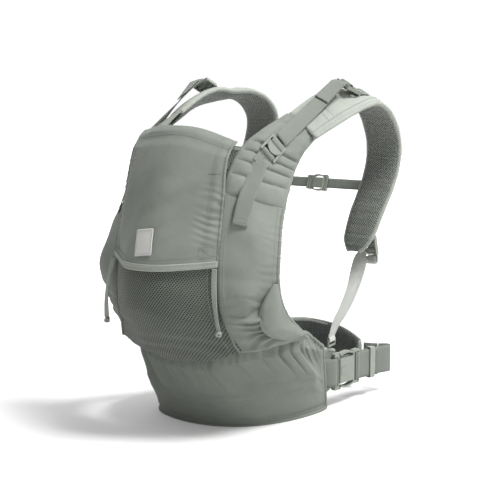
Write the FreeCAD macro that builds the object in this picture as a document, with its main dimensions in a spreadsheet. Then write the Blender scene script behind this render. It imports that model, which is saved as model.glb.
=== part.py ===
"""Soft baby carrier: front panel, head-support flap, padded straps, chest strap and waist belt.

Frame: millimetres, +Z up, X across the wearer, the panel's outer face towards -Y.
The origin is the centre of the waist belt's ring at the belt's mid height, where the wearer's waist is.
The right-hand side of the carrier is +X; left-hand soft parts are mirrored from it.
"""
import FreeCAD, Part
import math
import os
import Sketcher
from FreeCAD import Placement, Rotation, Vector

DOC = FreeCAD.newDocument("soft_baby_carrier")
NODES = []

# ---------------------------------------------------------------- driving dimensions

DIMENSIONS = {
    # waist belt
    "ring_half_width": 110, "ring_half_depth": 187, "pad_half_height": 58, "pad_thickness": 11,
    "lining_thickness": 2.5, "skirt_thickness": 1.6,
    # front panel and straps
    "mesh_thickness": 3, "wing_thickness": 2, "yoke_thickness": 8, "leg_pad_thickness": 4,
    "leg_pad_lift": 2.5, "seam_gap": 1.4,
    "flap_thickness": 1.6, "hem_height": 9, "hem_thickness": 3, "roll_radius": 4.6,
    "strap_half_thickness": 8, "cover_thickness": 2.4, "strap_lining_thickness": 3, "layer_gap": 0.3,
    # webbing
    "lifter_width": 25, "lifter_thickness": 1.6, "waist_webbing_width": 50, "waist_webbing_thickness": 2,
    "chest_webbing_width": 18, "chest_webbing_thickness": 1.5, "cord_width": 9, "cord_thickness": 1.5,
    "knot_radius": 6, "label_width": 34, "label_height": 43, "label_thickness": 0.8,
    # ladder lock
    "lock_half_width": 17, "lock_rail": 3.4, "lock_length": 31, "lock_height": 6, "lock_bar": 4,
    "lock_lip_thickness": 2.2, "lock_pin_radius": 2,
    # waist buckle, measured from the female half's slotted end
    "waist_block_length": 42, "waist_block_half": 22, "waist_block_half_depth": 7,
    "waist_frame_half": 33, "waist_frame_length": 14, "waist_frame_half_depth": 4, "waist_slot_half": 26.5,
    "waist_slot_length": 6, "waist_ladder_start": 47.5, "waist_ladder_end": 63, "waist_arm_radius": 56,
    "waist_arm_thickness": 3.6, "waist_arm_rise": 33, "waist_arm_half_depth": 5,
    "waist_tongue_half": 15, "waist_tongue_half_depth": 3, "waist_ear_length": 3,
    # chest buckle, measured the same way
    "chest_block_length": 21, "chest_block_half": 9, "chest_block_half_depth": 4.5,
    "chest_frame_half": 15, "chest_frame_length": 9, "chest_frame_half_depth": 3, "chest_slot_half": 10,
    "chest_slot_length": 4, "chest_ladder_start": 25, "chest_ladder_end": 35, "chest_arm_radius": 24,
    "chest_arm_thickness": 2.4, "chest_arm_rise": 15.5, "chest_arm_half_depth": 3.2,
    "chest_tongue_half": 5.5, "chest_tongue_half_depth": 1.8, "chest_ear_length": 1.6,
    # safety tongue, chest sliders, keeper
    "button_length": 11, "button_half": 7, "button_thickness": 2.2, "clearance": 0.5,
    "slider_half_width": 12, "slider_half_height": 14, "slider_half_depth": 3.2,
    "rail_width": 10, "rail_half_length": 41, "rail_thickness": 1.6, "rail_end_length": 15,
    "rail_end_drop": 6.4,
    "keeper_half_height": 29, "keeper_half_depth": 6.2, "keeper_width": 12, "keeper_wall": 1.6,
}


def make_sheet():
    """Write the driving dimensions into a spreadsheet, one alias per cell."""
    sheet = DOC.addObject("Spreadsheet::Sheet", "dims")
    for row, (alias, value) in enumerate(DIMENSIONS.items(), start=1):
        sheet.set(f"A{row}", alias)
        sheet.set(f"B{row}", str(value))
        sheet.setAlias(f"B{row}", alias)
    DOC.recompute()
    return sheet


SHEET = make_sheet()


def size(alias):
    """A driving dimension, read from the sheet."""
    return float(SHEET.get(alias))


# ---------------------------------------------------------------- points and soft solids

def unit(vector):
    return Vector(vector).normalize()


def row_normals(rows):
    """Unit normals of a grid of points, by differences along its rows and columns."""
    last_row, last_column = len(rows) - 1, len(rows[0]) - 1
    normals = []
    for i, row in enumerate(rows):
        line = []
        for j in range(len(row)):
            along = rows[min(i + 1, last_row)][j] - rows[max(i - 1, 0)][j]
            across = row[min(j + 1, last_column)] - row[max(j - 1, 0)]
            line.append(unit(along.cross(across)))
        normals.append(line)
    return normals


def shifted(rows, distance):
    """The grid moved by a distance along its own normals."""
    normals = row_normals(rows)
    return [[point + normal * distance for point, normal in zip(row, line)]
            for row, line in zip(rows, normals)]


def patch(rows):
    """A smooth quadratic surface whose control points are a grid of points."""
    surface = Part.BSplineSurface()
    knots, mults = [], []
    for count in (len(rows), len(rows[0])):
        spans = count - 2
        knots.append([float(k) for k in range(spans + 1)])
        mults.append([3] + [1] * (spans - 1) + [3])
    surface.buildFromPolesMultsKnots(rows, mults[0], mults[1], knots[0], knots[1], False, False, 2, 2)
    return surface


def between(outer, inner):
    """The closed solid between two grids of points that face each other."""
    face, back = patch(outer), patch(inner)
    low_u, high_u, low_v, high_v = face.bounds()
    back_low_u, back_high_u, back_low_v, back_high_v = back.bounds()
    edges = [(face.uIso(low_u), back.uIso(back_low_u)), (face.uIso(high_u), back.uIso(back_high_u)),
             (face.vIso(low_v), back.vIso(back_low_v)), (face.vIso(high_v), back.vIso(back_high_v))]
    sides = [Part.makeRuledSurface(one.toShape(), other.toShape()) for one, other in edges]
    shell = Part.makeShell([face.toShape(), back.toShape()] + sides)
    shell.sewShape()
    solid = Part.makeSolid(shell)
    if solid.Volume < 0:
        solid.reverse()
    return solid


def soft_layer(rows, start, end):
    """A layer of a soft part, from one distance off its middle grid to another."""
    return between(shifted(rows, start), shifted(rows, end))


def blend_rows(starts, ends, columns, bulge, outwards):
    """Rows of points from one edge line to another, bulging outwards between them."""
    rows = []
    for start, end, rise in zip(starts, ends, bulge):
        row = []
        for k in range(columns):
            f = k / (columns - 1)
            row.append(start * (1 - f) + end * f + outwards * (rise * 4 * f * (1 - f)))
        rows.append(row)
    return rows


def add_soft(label, shape):
    """A soft part as a document object with its shape set."""
    item = DOC.addObject("Part::Feature", label)
    item.Label = label
    item.Shape = shape
    NODES.append(item)
    return item


def add_mirrored(label, source):
    """The left-hand copy of a right-hand part."""
    item = DOC.addObject("Part::Mirroring", label)
    item.Label = label
    item.Source = source
    item.Normal = Vector(1, 0, 0)
    NODES.append(item)
    return item


def add_each(name, right, left):
    """A right-hand part and its left-hand neighbour, which is drawn as on the right and then turned over."""
    add_soft(f"{name}_right", right)
    add_soft(f"{name}_left", left.mirror(Vector(), Vector(1, 0, 0)))


def add_pair(name, shape):
    right = add_soft(f"{name}_right", shape)
    add_mirrored(f"{name}_left", right)
    return right


# ---------------------------------------------------------------- front panel

# Each row of the centre panel, from its top edge down: the seam's x, y and z, then y and z at the middle.
PANEL_ROWS = [
    (104, -208, 408, -246, 418), (101, -236, 375, -279, 380), (101, -251, 340, -302, 333),
    (104, -261, 300, -319, 287), (107, -273, 240, -338, 232), (109, -278, 195, -351, 185),
    (113, -275, 150, -341, 135), (119, -260, 116, -306, 90), (126, -243, 88, -252, 60),
]

# The head-support flap, from its folded top edge down, given the same way, and how far each row droops
# towards the right-hand side.
FLAP_ROWS = [
    (96, -222, 426, -250, 441), (98, -242, 406, -266, 424), (100, -252, 377, -288, 379),
    (103, -259, 340, -309, 333), (105, -268, 300, -327, 285), (106.5, -276, 261, -340, 252),
    (107.5, -280, 233, -348, 226),
]
FLAP_DROOP = [7, 4, 1, 0, 0, 0, 0]

# The side wing on the right: the edge at the leg, beside each seam point, and how far the cloth bulges.
WING_SEAM = [Vector(102, -253, 338), Vector(105, -262, 300), Vector(107, -270, 268), Vector(109, -276, 232),
             Vector(111, -279, 195), Vector(114, -275, 152), Vector(120, -260, 118), Vector(127, -242, 90)]
WING_EDGE = [Vector(160, -176, 310), Vector(166, -193, 284), Vector(172, -204, 256), Vector(176, -213, 220),
             Vector(177, -214, 190), Vector(171, -194, 153), Vector(166, -155, 119), Vector(161, -108, 95)]
WING_BULGE = [4, 8, 11, 13, 14, 14, 15, 16]
WING_BULGE_LEFT = [5, 12, 18, 24, 27, 24, 20, 16]

# The quilted yoke above it: inner and outer edges up to where the strap's padding starts.
YOKE_INNER = [Vector(102, -252, 342), Vector(103, -237, 374), Vector(106, -206, 409),
              Vector(112, -166, 432), Vector(116.5, -116, 453)]
YOKE_OUTER = [Vector(159, -174, 314), Vector(151, -149, 343), Vector(145, -128, 368),
              Vector(153, -114, 397), Vector(161.5, -100, 419)]
YOKE_BULGE = [5, 6, 6, 5, 3]

# The crescent pad on the leg edge: its outer and inner edges, from the top down.
LEG_OUTER = [Vector(177, -217, 196), Vector(175, -209, 173), Vector(172, -193, 150),
             Vector(169, -174, 132), Vector(166, -147, 116), Vector(163, -116, 99)]
LEG_INNER = [Vector(174, -224, 197), Vector(164, -241, 170), Vector(158, -241, 146),
             Vector(156, -232, 122), Vector(159, -206, 104), Vector(162, -168, 95)]

LEG_BULGE = [2, 4, 5, 5, 4, 2]

OUTWARDS = unit(Vector(0.62, -0.78, 0))


def bowed_rows(rows, droops, columns=5):
    """Rows that bow forwards between two edges, from the tables above, each drooping to the right."""
    grid = []
    for (edge_x, edge_y, edge_z, mid_y, mid_z), droop in zip(rows, droops):
        row = []
        for k in range(columns):
            f = 2 * k / (columns - 1) - 1
            level = mid_z + (edge_z - mid_z) * f * f - droop * f
            row.append(Vector(edge_x * f, mid_y + (edge_y - mid_y) * f * f, level))
        grid.append(row)
    return grid


def build_panel():
    panel = bowed_rows(PANEL_ROWS, [0] * len(PANEL_ROWS))
    add_soft("mesh_panel", soft_layer(panel, 0, -size("mesh_thickness")))
    inset = Vector(size("seam_gap"), 0, 0)
    seam = [point + inset for point in WING_SEAM]
    wings = [soft_layer(blend_rows(seam, WING_EDGE, 4, bulge, OUTWARDS), 0, -size("wing_thickness"))
             for bulge in (WING_BULGE, WING_BULGE_LEFT)]
    add_each("wing", *wings)
    inner = [point + inset * 1.8 for point in YOKE_INNER]
    yoke = blend_rows(inner, YOKE_OUTER, 4, YOKE_BULGE, OUTWARDS)
    add_pair("yoke", soft_layer(yoke, 0, size("yoke_thickness")))
    leg = blend_rows(LEG_INNER, LEG_OUTER, 4, LEG_BULGE, OUTWARDS)
    leg_clear = [[point + OUTWARDS * size("leg_pad_lift") for point in row] for row in leg]
    add_pair("leg_pad", soft_layer(leg_clear, size("leg_pad_thickness"), 0))


ROLL_ARC = (Vector(-70, -229.5, 419), Vector(0, -246.6, 426.8), Vector(70, -231, 417.6))


def build_flap():
    rows = bowed_rows(FLAP_ROWS, FLAP_DROOP)
    add_soft("flap", soft_layer(rows, 0, -size("flap_thickness")))
    hem_rows = []
    for drop in (0.6, size("hem_height") * 0.55, size("hem_height")):
        hem_rows.append([Vector(point.x, point.y - drop * 0.12, point.z - drop) for point in rows[-1]])
    add_soft("flap_hem", soft_layer(hem_rows, 0.6, 0.6 - size("hem_thickness")))
    roll_path = Part.Arc(*ROLL_ARC)
    start = roll_path.value(roll_path.FirstParameter)
    heading = roll_path.tangent(roll_path.FirstParameter)[0]
    section = Part.Wire(Part.makeCircle(size("roll_radius"), start, heading))
    add_soft("head_roll", Part.Wire(roll_path.toShape()).makePipeShell([section], True, False))


# ---------------------------------------------------------------- waist belt

# Degrees of the ring from the near end to where the far end leaves it. The pad's ends are rounded:
# stations from an end, and their share of the height.
PAD_NEAR_ANGLE, PAD_FAR_ANGLE = 21, 256
PAD_FAR_END = [Vector(52, 184, 0), Vector(88, 176, 0)]
PAD_END_HEIGHTS = {0: 0.55, 1: 0.86}
SWELL, SWELL_ANGLE, SWELL_REACH = 0.10, 138, 62


def ring_point(degrees):
    """A point of the belt's ring: 0 is on +X, and the angle runs forwards and round the far side.

    The ring is an oval that swells a little at its front left.
    """
    angle = math.radians(degrees)
    away = min(1, abs(degrees - SWELL_ANGLE) / SWELL_REACH)
    swell = 1 + SWELL * math.cos(math.pi / 2 * away) ** 2
    width, depth = size("ring_half_width") * swell, size("ring_half_depth") * swell
    return Vector(width * math.cos(angle), -depth * math.sin(angle), 0)


def belt_rows(first, last, count, tail, half_height):
    """Upright rows round the belt, from the near end forwards to the far end."""
    step = (last - first) / (count - 1)
    line = [ring_point(first + step * k) for k in range(count)] + tail
    rows = []
    for k, point in enumerate(line):
        share = PAD_END_HEIGHTS.get(min(k, len(line) - 1 - k), 1)
        rows.append([point + Vector(0, 0, half_height * share * f) for f in (-1, -0.4, 0.4, 1)])
    return rows


# The skirt's lower and upper edges, from its left-hand end round the front to its right-hand end.
SKIRT_LOW = [
    Vector(-112, 22, -59), Vector(-121, 4, -61), Vector(-127, -24, -61), Vector(-133, -68, -61),
    Vector(-138, -126, -61), Vector(-111, -172, -61), Vector(-54, -194, -61), Vector(0, -197, -61),
    Vector(46, -182, -61), Vector(83, -150, -61), Vector(104, -106, -61), Vector(115, -62, -61),
    Vector(118, -24, -61), Vector(118, -4, -61), Vector(116, 12, -59),
]
SKIRT_HIGH = [
    Vector(-122.5, -2, 54), Vector(-138, -56, 78), Vector(-149, -108, 94), Vector(-143, -158, 94),
    Vector(-124, -206, 89), Vector(-92, -240, 75), Vector(-50, -249, 61), Vector(0, -251, 56),
    Vector(50, -251, 60), Vector(98, -248, 72), Vector(136, -218, 84), Vector(156, -166, 88),
    Vector(159, -112, 89), Vector(144, -62, 74), Vector(123.5, -10, 54),
]


def build_skirt():
    """The gathered cover flares from the belt's lower edge out to the seat pouch's hem."""
    rows = [[low * (1 - f) + high * f for f in (0, 0.33, 0.67, 1)]
            for low, high in zip(SKIRT_LOW, SKIRT_HIGH)]
    add_soft("belt_skirt", soft_layer(rows, 0, size("skirt_thickness")))


def build_belt():
    first, last = -PAD_NEAR_ANGLE, PAD_FAR_ANGLE
    rows = belt_rows(first, last, 15, PAD_FAR_END, size("pad_half_height"))
    gap = size("layer_gap")
    thickness = size("pad_thickness")
    add_soft("belt_pad", soft_layer(rows, 0, thickness))
    add_soft("belt_lining", soft_layer(rows, thickness + gap, thickness + gap + size("lining_thickness")))
    build_skirt()


# ---------------------------------------------------------------- webbing

def ribbon(line, across, width, thickness):
    """A flat strip of webbing along a line of points; across gives its width's direction at each."""
    tangents = []
    for k in range(len(line)):
        tangents.append(unit(line[min(k + 1, len(line) - 1)] - line[max(k - 1, 0)]))
    outer, inner = [], []
    for point, side, tangent in zip(line, across, tangents):
        side = unit(side - tangent * side.dot(tangent))
        up = unit(side.cross(tangent))
        edges = [side * (width * f) for f in (-0.5, -0.17, 0.17, 0.5)]
        outer.append([point + edge + up * (thickness / 2) for edge in edges])
        inner.append([point + edge - up * (thickness / 2) for edge in edges])
    return between(outer, inner)


def rounded_route(points):
    """Straight runs joined by tangent arcs, each as large as its two runs allow, and the arcs' radii."""
    edges, radii, start = [], [], points[0]
    for before, corner, after in zip(points, points[1:], points[2:]):
        arriving, leaving = unit(corner - before), unit(after - corner)
        reach = 0.45 * min((corner - before).Length, (after - corner).Length)
        turn = arriving.getAngle(leaving)
        radius = reach / math.tan(turn / 2)
        first, last = corner - arriving * reach, corner + leaving * reach
        towards = unit(leaving - arriving)
        middle = corner + towards * (radius / math.cos(turn / 2) - radius)
        edges.append(Part.LineSegment(start, first).toShape())
        edges.append(Part.Arc(first, middle, last).toShape())
        radii.append(radius)
        start = last
    edges.append(Part.LineSegment(start, points[-1]).toShape())
    return Part.Wire(edges), radii


def strip(route, points, across, width, thickness):
    """A flat strip swept along a rounded route."""
    heading = unit(points[1] - points[0])
    side = unit(across - heading * heading.dot(across))
    up = heading.cross(side)
    corners = [points[0] + side * (width / 2 * a) + up * (thickness / 2 * b)
               for a, b in ((-1, -1), (1, -1), (1, 1), (-1, 1), (-1, -1))]
    return route.makePipeShell([Part.makePolygon(corners)], True, False)


def straight_ribbon(start, end, side, width, thickness):
    """A straight strip of webbing between two points."""
    tangent = unit(end - start)
    across = unit(side - tangent * side.dot(tangent))
    up = tangent.cross(across)
    webbing = Part.makeBox(width, thickness, (end - start).Length)
    webbing.Placement = Placement(start - across * (width / 2) - up * (thickness / 2),
                                  Rotation(across, up, tangent, "ZXY"))
    return webbing


# ---------------------------------------------------------------- shoulder strap

# Stations along the straps' centre lines: x, y, z, the tilt of the width in degrees, half the width.
# The left-hand strap starts and ends as the right-hand one does, and its arch leans in and back.
STRAP_START = [(141, -99, 437, 36, 29), (148, -52, 459, 33, 32), (152, -12, 473, 30, 33),
               (154, 22, 480.5, 25, 33)]
STRAP_ARCH = [(154.5, 55, 482, 14, 33), (154, 84, 471, 9, 32), (152.5, 111, 452, 5, 32),
              (151, 132.5, 425, 2, 31.5), (149.5, 146, 390, 0, 31)]
STRAP_ARCH_LEFT = [(152, 56, 480.5, 13, 33), (140, 96, 486.5, 7, 33), (128, 131, 472, 3, 33),
                   (122, 152, 440, 1, 33), (130, 154, 398, 0, 32)]
STRAP_END = [(145, 144.5, 350, 0, 31), (138.5, 132.5, 312, 0, 31), (131.5, 116, 276, 0, 30),
             (126.5, 105, 243, 0, 28), (122.5, 98, 222, 0, 23), (120, 95, 209, 0, 10)]


def strap_rows(stations):
    """A strap's middle surface: rows across it at each station."""
    rows = []
    for x, y, z, tilt, half in stations:
        angle = math.radians(tilt)
        side = Vector(math.cos(angle), 0, -math.sin(angle))
        rows.append([Vector(x, y, z) + side * (half * f) for f in (-1, -0.4, 0.4, 1)])
    return rows


def build_strap():
    half, gap = size("strap_half_thickness"), size("layer_gap")
    outer = half - size("cover_thickness")
    inner = half - size("strap_lining_thickness")
    layers = {"strap_cover": (-half, -outer), "strap_foam": (-outer + gap, inner - gap),
              "strap_lining": (inner, half)}
    arches = [strap_rows(STRAP_START + arch + STRAP_END) for arch in (STRAP_ARCH, STRAP_ARCH_LEFT)]
    for name, (start, end) in layers.items():
        add_each(name, *[soft_layer(rows, start, end) for rows in arches])


# ---------------------------------------------------------------- PartDesign helpers

def origin_plane(body, role):
    return next(plane for plane in body.Origin.OriginFeatures if plane.Role == role)


def new_body(label, place=None):
    body = DOC.addObject("PartDesign::Body", label)
    body.Label = label
    body.Placement = place or Placement()
    NODES.append(body)
    return body


def rectangle(body, name, bounds, role="XY_Plane"):
    """A sketch of one rectangle whose four sides are bound to expressions of the sheet's cells."""
    sketch = body.newObject("Sketcher::SketchObject", name)
    sketch.AttachmentSupport = [(origin_plane(body, role), "")]
    sketch.MapMode = "FlatFace"
    add_rectangle(sketch, bounds)
    return sketch


def add_rectangle(sketch, bounds):
    low_x, high_x, low_y, high_y = [sketch.evalExpression(text) for text in bounds]
    corners = [Vector(low_x, low_y, 0), Vector(high_x, low_y, 0), Vector(high_x, high_y, 0),
               Vector(low_x, high_y, 0)]
    first = len(sketch.Geometry)
    for k in range(4):
        sketch.addGeometry(Part.LineSegment(corners[k], corners[(k + 1) % 4]), False)
    for k in range(4):
        sketch.addConstraint(Sketcher.Constraint("Coincident", first + k, 2, first + (k + 1) % 4, 1))
    for k in (0, 2):
        sketch.addConstraint(Sketcher.Constraint("Horizontal", first + k))
    for k in (1, 3):
        sketch.addConstraint(Sketcher.Constraint("Vertical", first + k))
    ends = [("DistanceX", first, bounds[0], low_x), ("DistanceY", first, bounds[2], low_y),
            ("DistanceX", first + 2, bounds[1], high_x), ("DistanceY", first + 2, bounds[3], high_y)]
    for kind, line, text, value in ends:
        index = sketch.addConstraint(Sketcher.Constraint(kind, -1, 1, line, 1, value))
        sketch.setExpression(f"Constraints[{index}]", text)


def half_disc(body, name, radius, centre_y):
    """A sketch of a half disc that bulges towards -Y, its centre on the Y axis."""
    sketch = body.newObject("Sketcher::SketchObject", name)
    sketch.AttachmentSupport = [(origin_plane(body, "XY_Plane"), "")]
    sketch.MapMode = "FlatFace"
    reach, height = sketch.evalExpression(radius), sketch.evalExpression(centre_y)
    centre = Vector(0, height, 0)
    arc = Part.ArcOfCircle(Part.Circle(centre, Vector(0, 0, 1), reach), math.pi, 2 * math.pi)
    sketch.addGeometry(arc, False)
    sketch.addGeometry(Part.LineSegment(Vector(reach, height, 0), Vector(-reach, height, 0)), False)
    sketch.addConstraint(Sketcher.Constraint("Coincident", 0, 2, 1, 1))
    sketch.addConstraint(Sketcher.Constraint("Coincident", 1, 2, 0, 1))
    sketch.addConstraint(Sketcher.Constraint("Horizontal", 1))
    sketch.addConstraint(Sketcher.Constraint("PointOnObject", 0, 3, -2))
    sketch.addConstraint(Sketcher.Constraint("PointOnObject", 0, 3, 1))
    index = sketch.addConstraint(Sketcher.Constraint("DistanceY", -1, 1, 0, 3, height))
    sketch.setExpression(f"Constraints[{index}]", centre_y)
    index = sketch.addConstraint(Sketcher.Constraint("Radius", 0, reach))
    sketch.setExpression(f"Constraints[{index}]", radius)
    return sketch


def pad(body, name, sketch, length, offset=None):
    """A pad that is symmetrical about its sketch, or starts at an offset along the sketch's normal."""
    feature = body.newObject("PartDesign::Pad", name)
    feature.Profile = sketch
    feature.setExpression("Length", length)
    if offset is None:
        feature.Midplane = True
    else:
        sketch.setExpression(".AttachmentOffset.Base.z", offset)
    return feature


def pocket(body, name, sketch, length):
    """A pocket cut equally to both sides of its sketch."""
    feature = body.newObject("PartDesign::Pocket", name)
    feature.Profile = sketch
    feature.Midplane = True
    feature.setExpression("Length", length)
    return feature


def upright_edges(shape, low, high):
    """Names of the straight edges along Z whose middle is inside a box in x and y."""
    names = []
    for number, edge in enumerate(shape.Edges, start=1):
        if len(edge.Vertexes) != 2 or edge.Curve.TypeId != "Part::GeomLine":
            continue
        one, other = edge.Vertexes[0].Point, edge.Vertexes[1].Point
        inside = low[0] <= one.x <= high[0] and low[1] <= one.y <= high[1]
        if inside and abs(one.x - other.x) < 1e-6 and abs(one.y - other.y) < 1e-6:
            names.append(f"Edge{number}")
    return names


def round_uprights(body, name, radius, low=(-999, -999), high=(999, 999)):
    """Fillet the upright edges of the body so far."""
    DOC.recompute()
    base = body.Tip
    edges = upright_edges(base.Shape, low, high)
    feature = body.newObject("PartDesign::Fillet", name)
    feature.Base = (base, edges)
    feature.Radius = radius
    return feature


# ---------------------------------------------------------------- ladder locks

def ladder_lock(label, place):
    """A ladder lock: two rails, an anchor pin, two bars, and a lip that is lifted to let webbing slip.

    Its anchor pin lies on the local X axis, its nose points along +Y, and +Z is its outer face.
    """
    body = new_body(label, place)
    frame = rectangle(body, f"{label}_outline", ("-dims.lock_half_width", "dims.lock_half_width",
                                                 "-dims.lock_bar * 0.9", "dims.lock_length"))
    pad(body, f"{label}_plate", frame, "dims.lock_height")
    inner = "dims.lock_half_width - dims.lock_rail"
    anchor = rectangle(body, f"{label}_anchor_gap", (f"-({inner})", inner, "-dims.lock_bar",
                                                     "dims.lock_length * 0.32"))
    middle = rectangle(body, f"{label}_middle_gap", (f"-({inner})", inner, "dims.lock_length * 0.46",
                                                     "dims.lock_length - dims.lock_bar"))
    pocket(body, f"{label}_anchor_window", anchor, "dims.lock_height * 2")
    pocket(body, f"{label}_middle_window", middle, "dims.lock_height * 2")
    round_uprights(body, f"{label}_corners", 1.5, low=(-999, 20))
    pin = body.newObject("Sketcher::SketchObject", f"{label}_pin_circle")
    pin.AttachmentSupport = [(origin_plane(body, "YZ_Plane"), "")]
    pin.MapMode = "FlatFace"
    pin.addGeometry(Part.Circle(Vector(0, 0, 0), Vector(0, 0, 1), size("lock_pin_radius")), False)
    pin.addConstraint(Sketcher.Constraint("Coincident", 0, 3, -1, 1))
    radius = pin.addConstraint(Sketcher.Constraint("Radius", 0, size("lock_pin_radius")))
    pin.setExpression(f"Constraints[{radius}]", "dims.lock_pin_radius")
    pad(body, f"{label}_pin", pin, "dims.lock_half_width * 2 - 1")
    lip = half_disc(body, f"{label}_lip_outline", "dims.lock_half_width - 2.5", "dims.lock_length * 0.6")
    pad(body, f"{label}_lip", lip, "dims.lock_lip_thickness", "dims.lock_height * 0.5 - 0.4")
    return body


def frame_of(origin, nose, outward):
    """A placement with its local Y along nose and its local Z as near outward as that allows."""
    along = unit(nose)
    up = unit(outward - along * outward.dot(along))
    return Placement(origin, Rotation(along.cross(up), along, up, "YZX"))


# Where the right-hand locks' anchor pins lie, where their noses point and which way they face.
LOCKS = {
    "panel_lock": (Vector(131, -181, 396), Vector(0.11, 0.80, 0.59), Vector(0.90, -0.36, 0.24)),
    "top_lock": (Vector(157.6, 27.4, 495), Vector(-0.12, -0.93, 0.34), Vector(0.46, 0.30, 0.84)),
    "end_lock": (Vector(133.6, 122.3, 231.4), Vector(0.10, 0.10, -0.99), Vector(0.25, 0.97, 0.10)),
}


def side_vector(vector, side):
    return Vector(vector.x * side, vector.y, vector.z)


def lock_place(name, side):
    origin, nose, outward = [side_vector(vector, side) for vector in LOCKS[name]]
    return frame_of(origin, nose, outward)


def tab_shape(place, length, lift):
    """A webbing tab: a loop round the lock's pin and two layers that run back along the cloth to a seam."""
    width, thick = size("lifter_width"), size("lifter_thickness")
    hole = size("lock_pin_radius") + 0.35
    outer = hole + thick
    ring = Part.makeCylinder(outer, width, Vector(-width / 2, 0, 0), Vector(1, 0, 0))
    tongue = Part.makeBox(width, length, 2 * thick)
    tongue.translate(Vector(-width / 2, -length - hole, -outer))
    body = ring.fuse(tongue).removeSplitter()
    body = body.cut(Part.makeCylinder(hole, width + 2, Vector(-width / 2 - 1, 0, 0), Vector(1, 0, 0)))
    body.Placement = place.multiply(Placement(Vector(), Rotation(Vector(1, 0, 0), -lift)))
    return body


# Each tab's length, and the degrees its run lies above the lock's own line.
TABS = {"panel_lock": (24, 0), "top_lock": (26, 15), "end_lock": (18, 21)}


def build_locks():
    for name in LOCKS:
        for word, side in (("right", 1), ("left", -1)):
            ladder_lock(f"{name}_{word}", lock_place(name, side))
    tabs = [tab_shape(lock_place(name, 1), length, lift) for name, (length, lift) in TABS.items()]
    add_pair("lock_tabs", Part.makeCompound(tabs))


def build_lifters():
    """The load-lifter webbing: its span, which twists between two locks, and its two free tails."""
    width, thick = size("lifter_width"), size("lifter_thickness")
    low, high = lock_place("panel_lock", 1), lock_place("top_lock", 1)
    reach = size("lock_length") + 3
    start, end = low.multVec(Vector(0, reach, 3.4)), high.multVec(Vector(0, reach + 2, 1.5))
    low_side = low.Rotation.multVec(Vector(1, 0, 0))
    high_side = high.Rotation.multVec(Vector(-1, 0, 0))

    def twisted(shares, lift):
        line, sides = [], []
        for f in shares:
            side = unit(low_side * (1 - f) + high_side * f)
            raised = unit(side.cross(end - start)) * lift
            line.append(start * (1 - f) + end * f + raised * (1 if raised.z > 0 else -1))
            sides.append(side)
        return ribbon(line, sides, width, thick)

    span = twisted((0, 0.25, 0.5, 0.75, 1), 1.2)
    upper_tail = twisted((0.66, 0.76, 0.86, 0.96), 4.4)
    tail_line = [Vector(130, -210, 366), Vector(131, -229, 344), Vector(131, -243, 320),
                 Vector(131, -254, 289)]
    tail_side = [Vector(0.66, 0.75, 0.05)] * 4
    panel_tail = ribbon(tail_line, tail_side, width, thick)
    add_pair("lifter_webbing", Part.makeCompound([span, upper_tail, panel_tail]))


# The lower shoulder webbing, from below its lock to the loop that it is sewn round above the belt.
LOWER_LINE = [Vector(124, 113, 199), Vector(121, 106, 172), Vector(117.5, 94.5, 138),
              Vector(111, 77, 104)]
LOWER_SIDE = [Vector(1, 0.1, 0), Vector(0.75, 0.65, 0), Vector(0.35, 0.93, 0), Vector(0.2, 0.98, 0),
              Vector(0, 1, 0), Vector(-0.19, 0.98, 0)]
BELT_LOOPS = {"right": Vector(101.5, 52, 47.5), "left": Vector(-101.5, 52, 66.5)}
BELT_LOOP_SIDE = Vector(-0.19, 0.98, 0)


def build_lower_webbing():
    width, thick = size("lifter_width"), size("lifter_thickness")
    for word, side in (("right", 1), ("left", -1)):
        loop = BELT_LOOPS[word]
        line = [side_vector(point, side) for point in LOWER_LINE]
        line += [loop + Vector(2.5 * side, 5, 30), loop + Vector(0, 0, 9.6)]
        across = [side_vector(vector, side) for vector in LOWER_SIDE]
        add_soft(f"lower_webbing_{word}", ribbon(line, across, width, thick))


# ---------------------------------------------------------------- side-release buckles

def buckle_female(label, kind, place):
    """The female half: a slotted frame, a hollow block for the guide tongue, and two ears for the arms."""
    body = new_body(label, place)
    d = f"dims.{kind}_"
    bounds = (f"-{d}frame_length", "0", f"-{d}frame_half", f"{d}frame_half")
    frame = rectangle(body, f"{label}_frame", bounds)
    pad(body, f"{label}_frame_pad", frame, f"{d}frame_half_depth * 2")
    bounds = (f"-{d}frame_length + 4", f"-{d}frame_length + 4 + {d}slot_length", f"-{d}slot_half",
              f"{d}slot_half")
    slot = rectangle(body, f"{label}_slot", bounds)
    pocket(body, f"{label}_slot_cut", slot, f"{d}frame_half_depth * 4")
    bounds = ("-1", f"{d}block_length", f"-{d}block_half", f"{d}block_half")
    block = rectangle(body, f"{label}_block", bounds)
    pad(body, f"{label}_block_pad", block, f"{d}block_half_depth * 2")
    for word, sign in (("upper", 1), ("lower", -1)):
        low, high = (f"{d}frame_half - 3.5", f"{d}frame_half")
        bounds = (low, high) if sign > 0 else (f"-({high})", f"-({low})")
        ear = rectangle(body, f"{label}_{word}_ear", ("-1", f"{d}ear_length") + bounds)
        pad(body, f"{label}_{word}_ear_pad", ear, f"{d}arm_half_depth * 2")
    hollow = rectangle(body, f"{label}_hollow", (f"{d}block_length * 0.3", f"{d}block_length + 1",
                                                 f"-{d}tongue_half - 1", f"{d}tongue_half + 1"))
    pocket(body, f"{label}_hollow_cut", hollow, f"{d}tongue_half_depth * 2 + 1")
    round_uprights(body, f"{label}_corners", 2, low=(-99, -99), high=(-5, 99))
    return body


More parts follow.
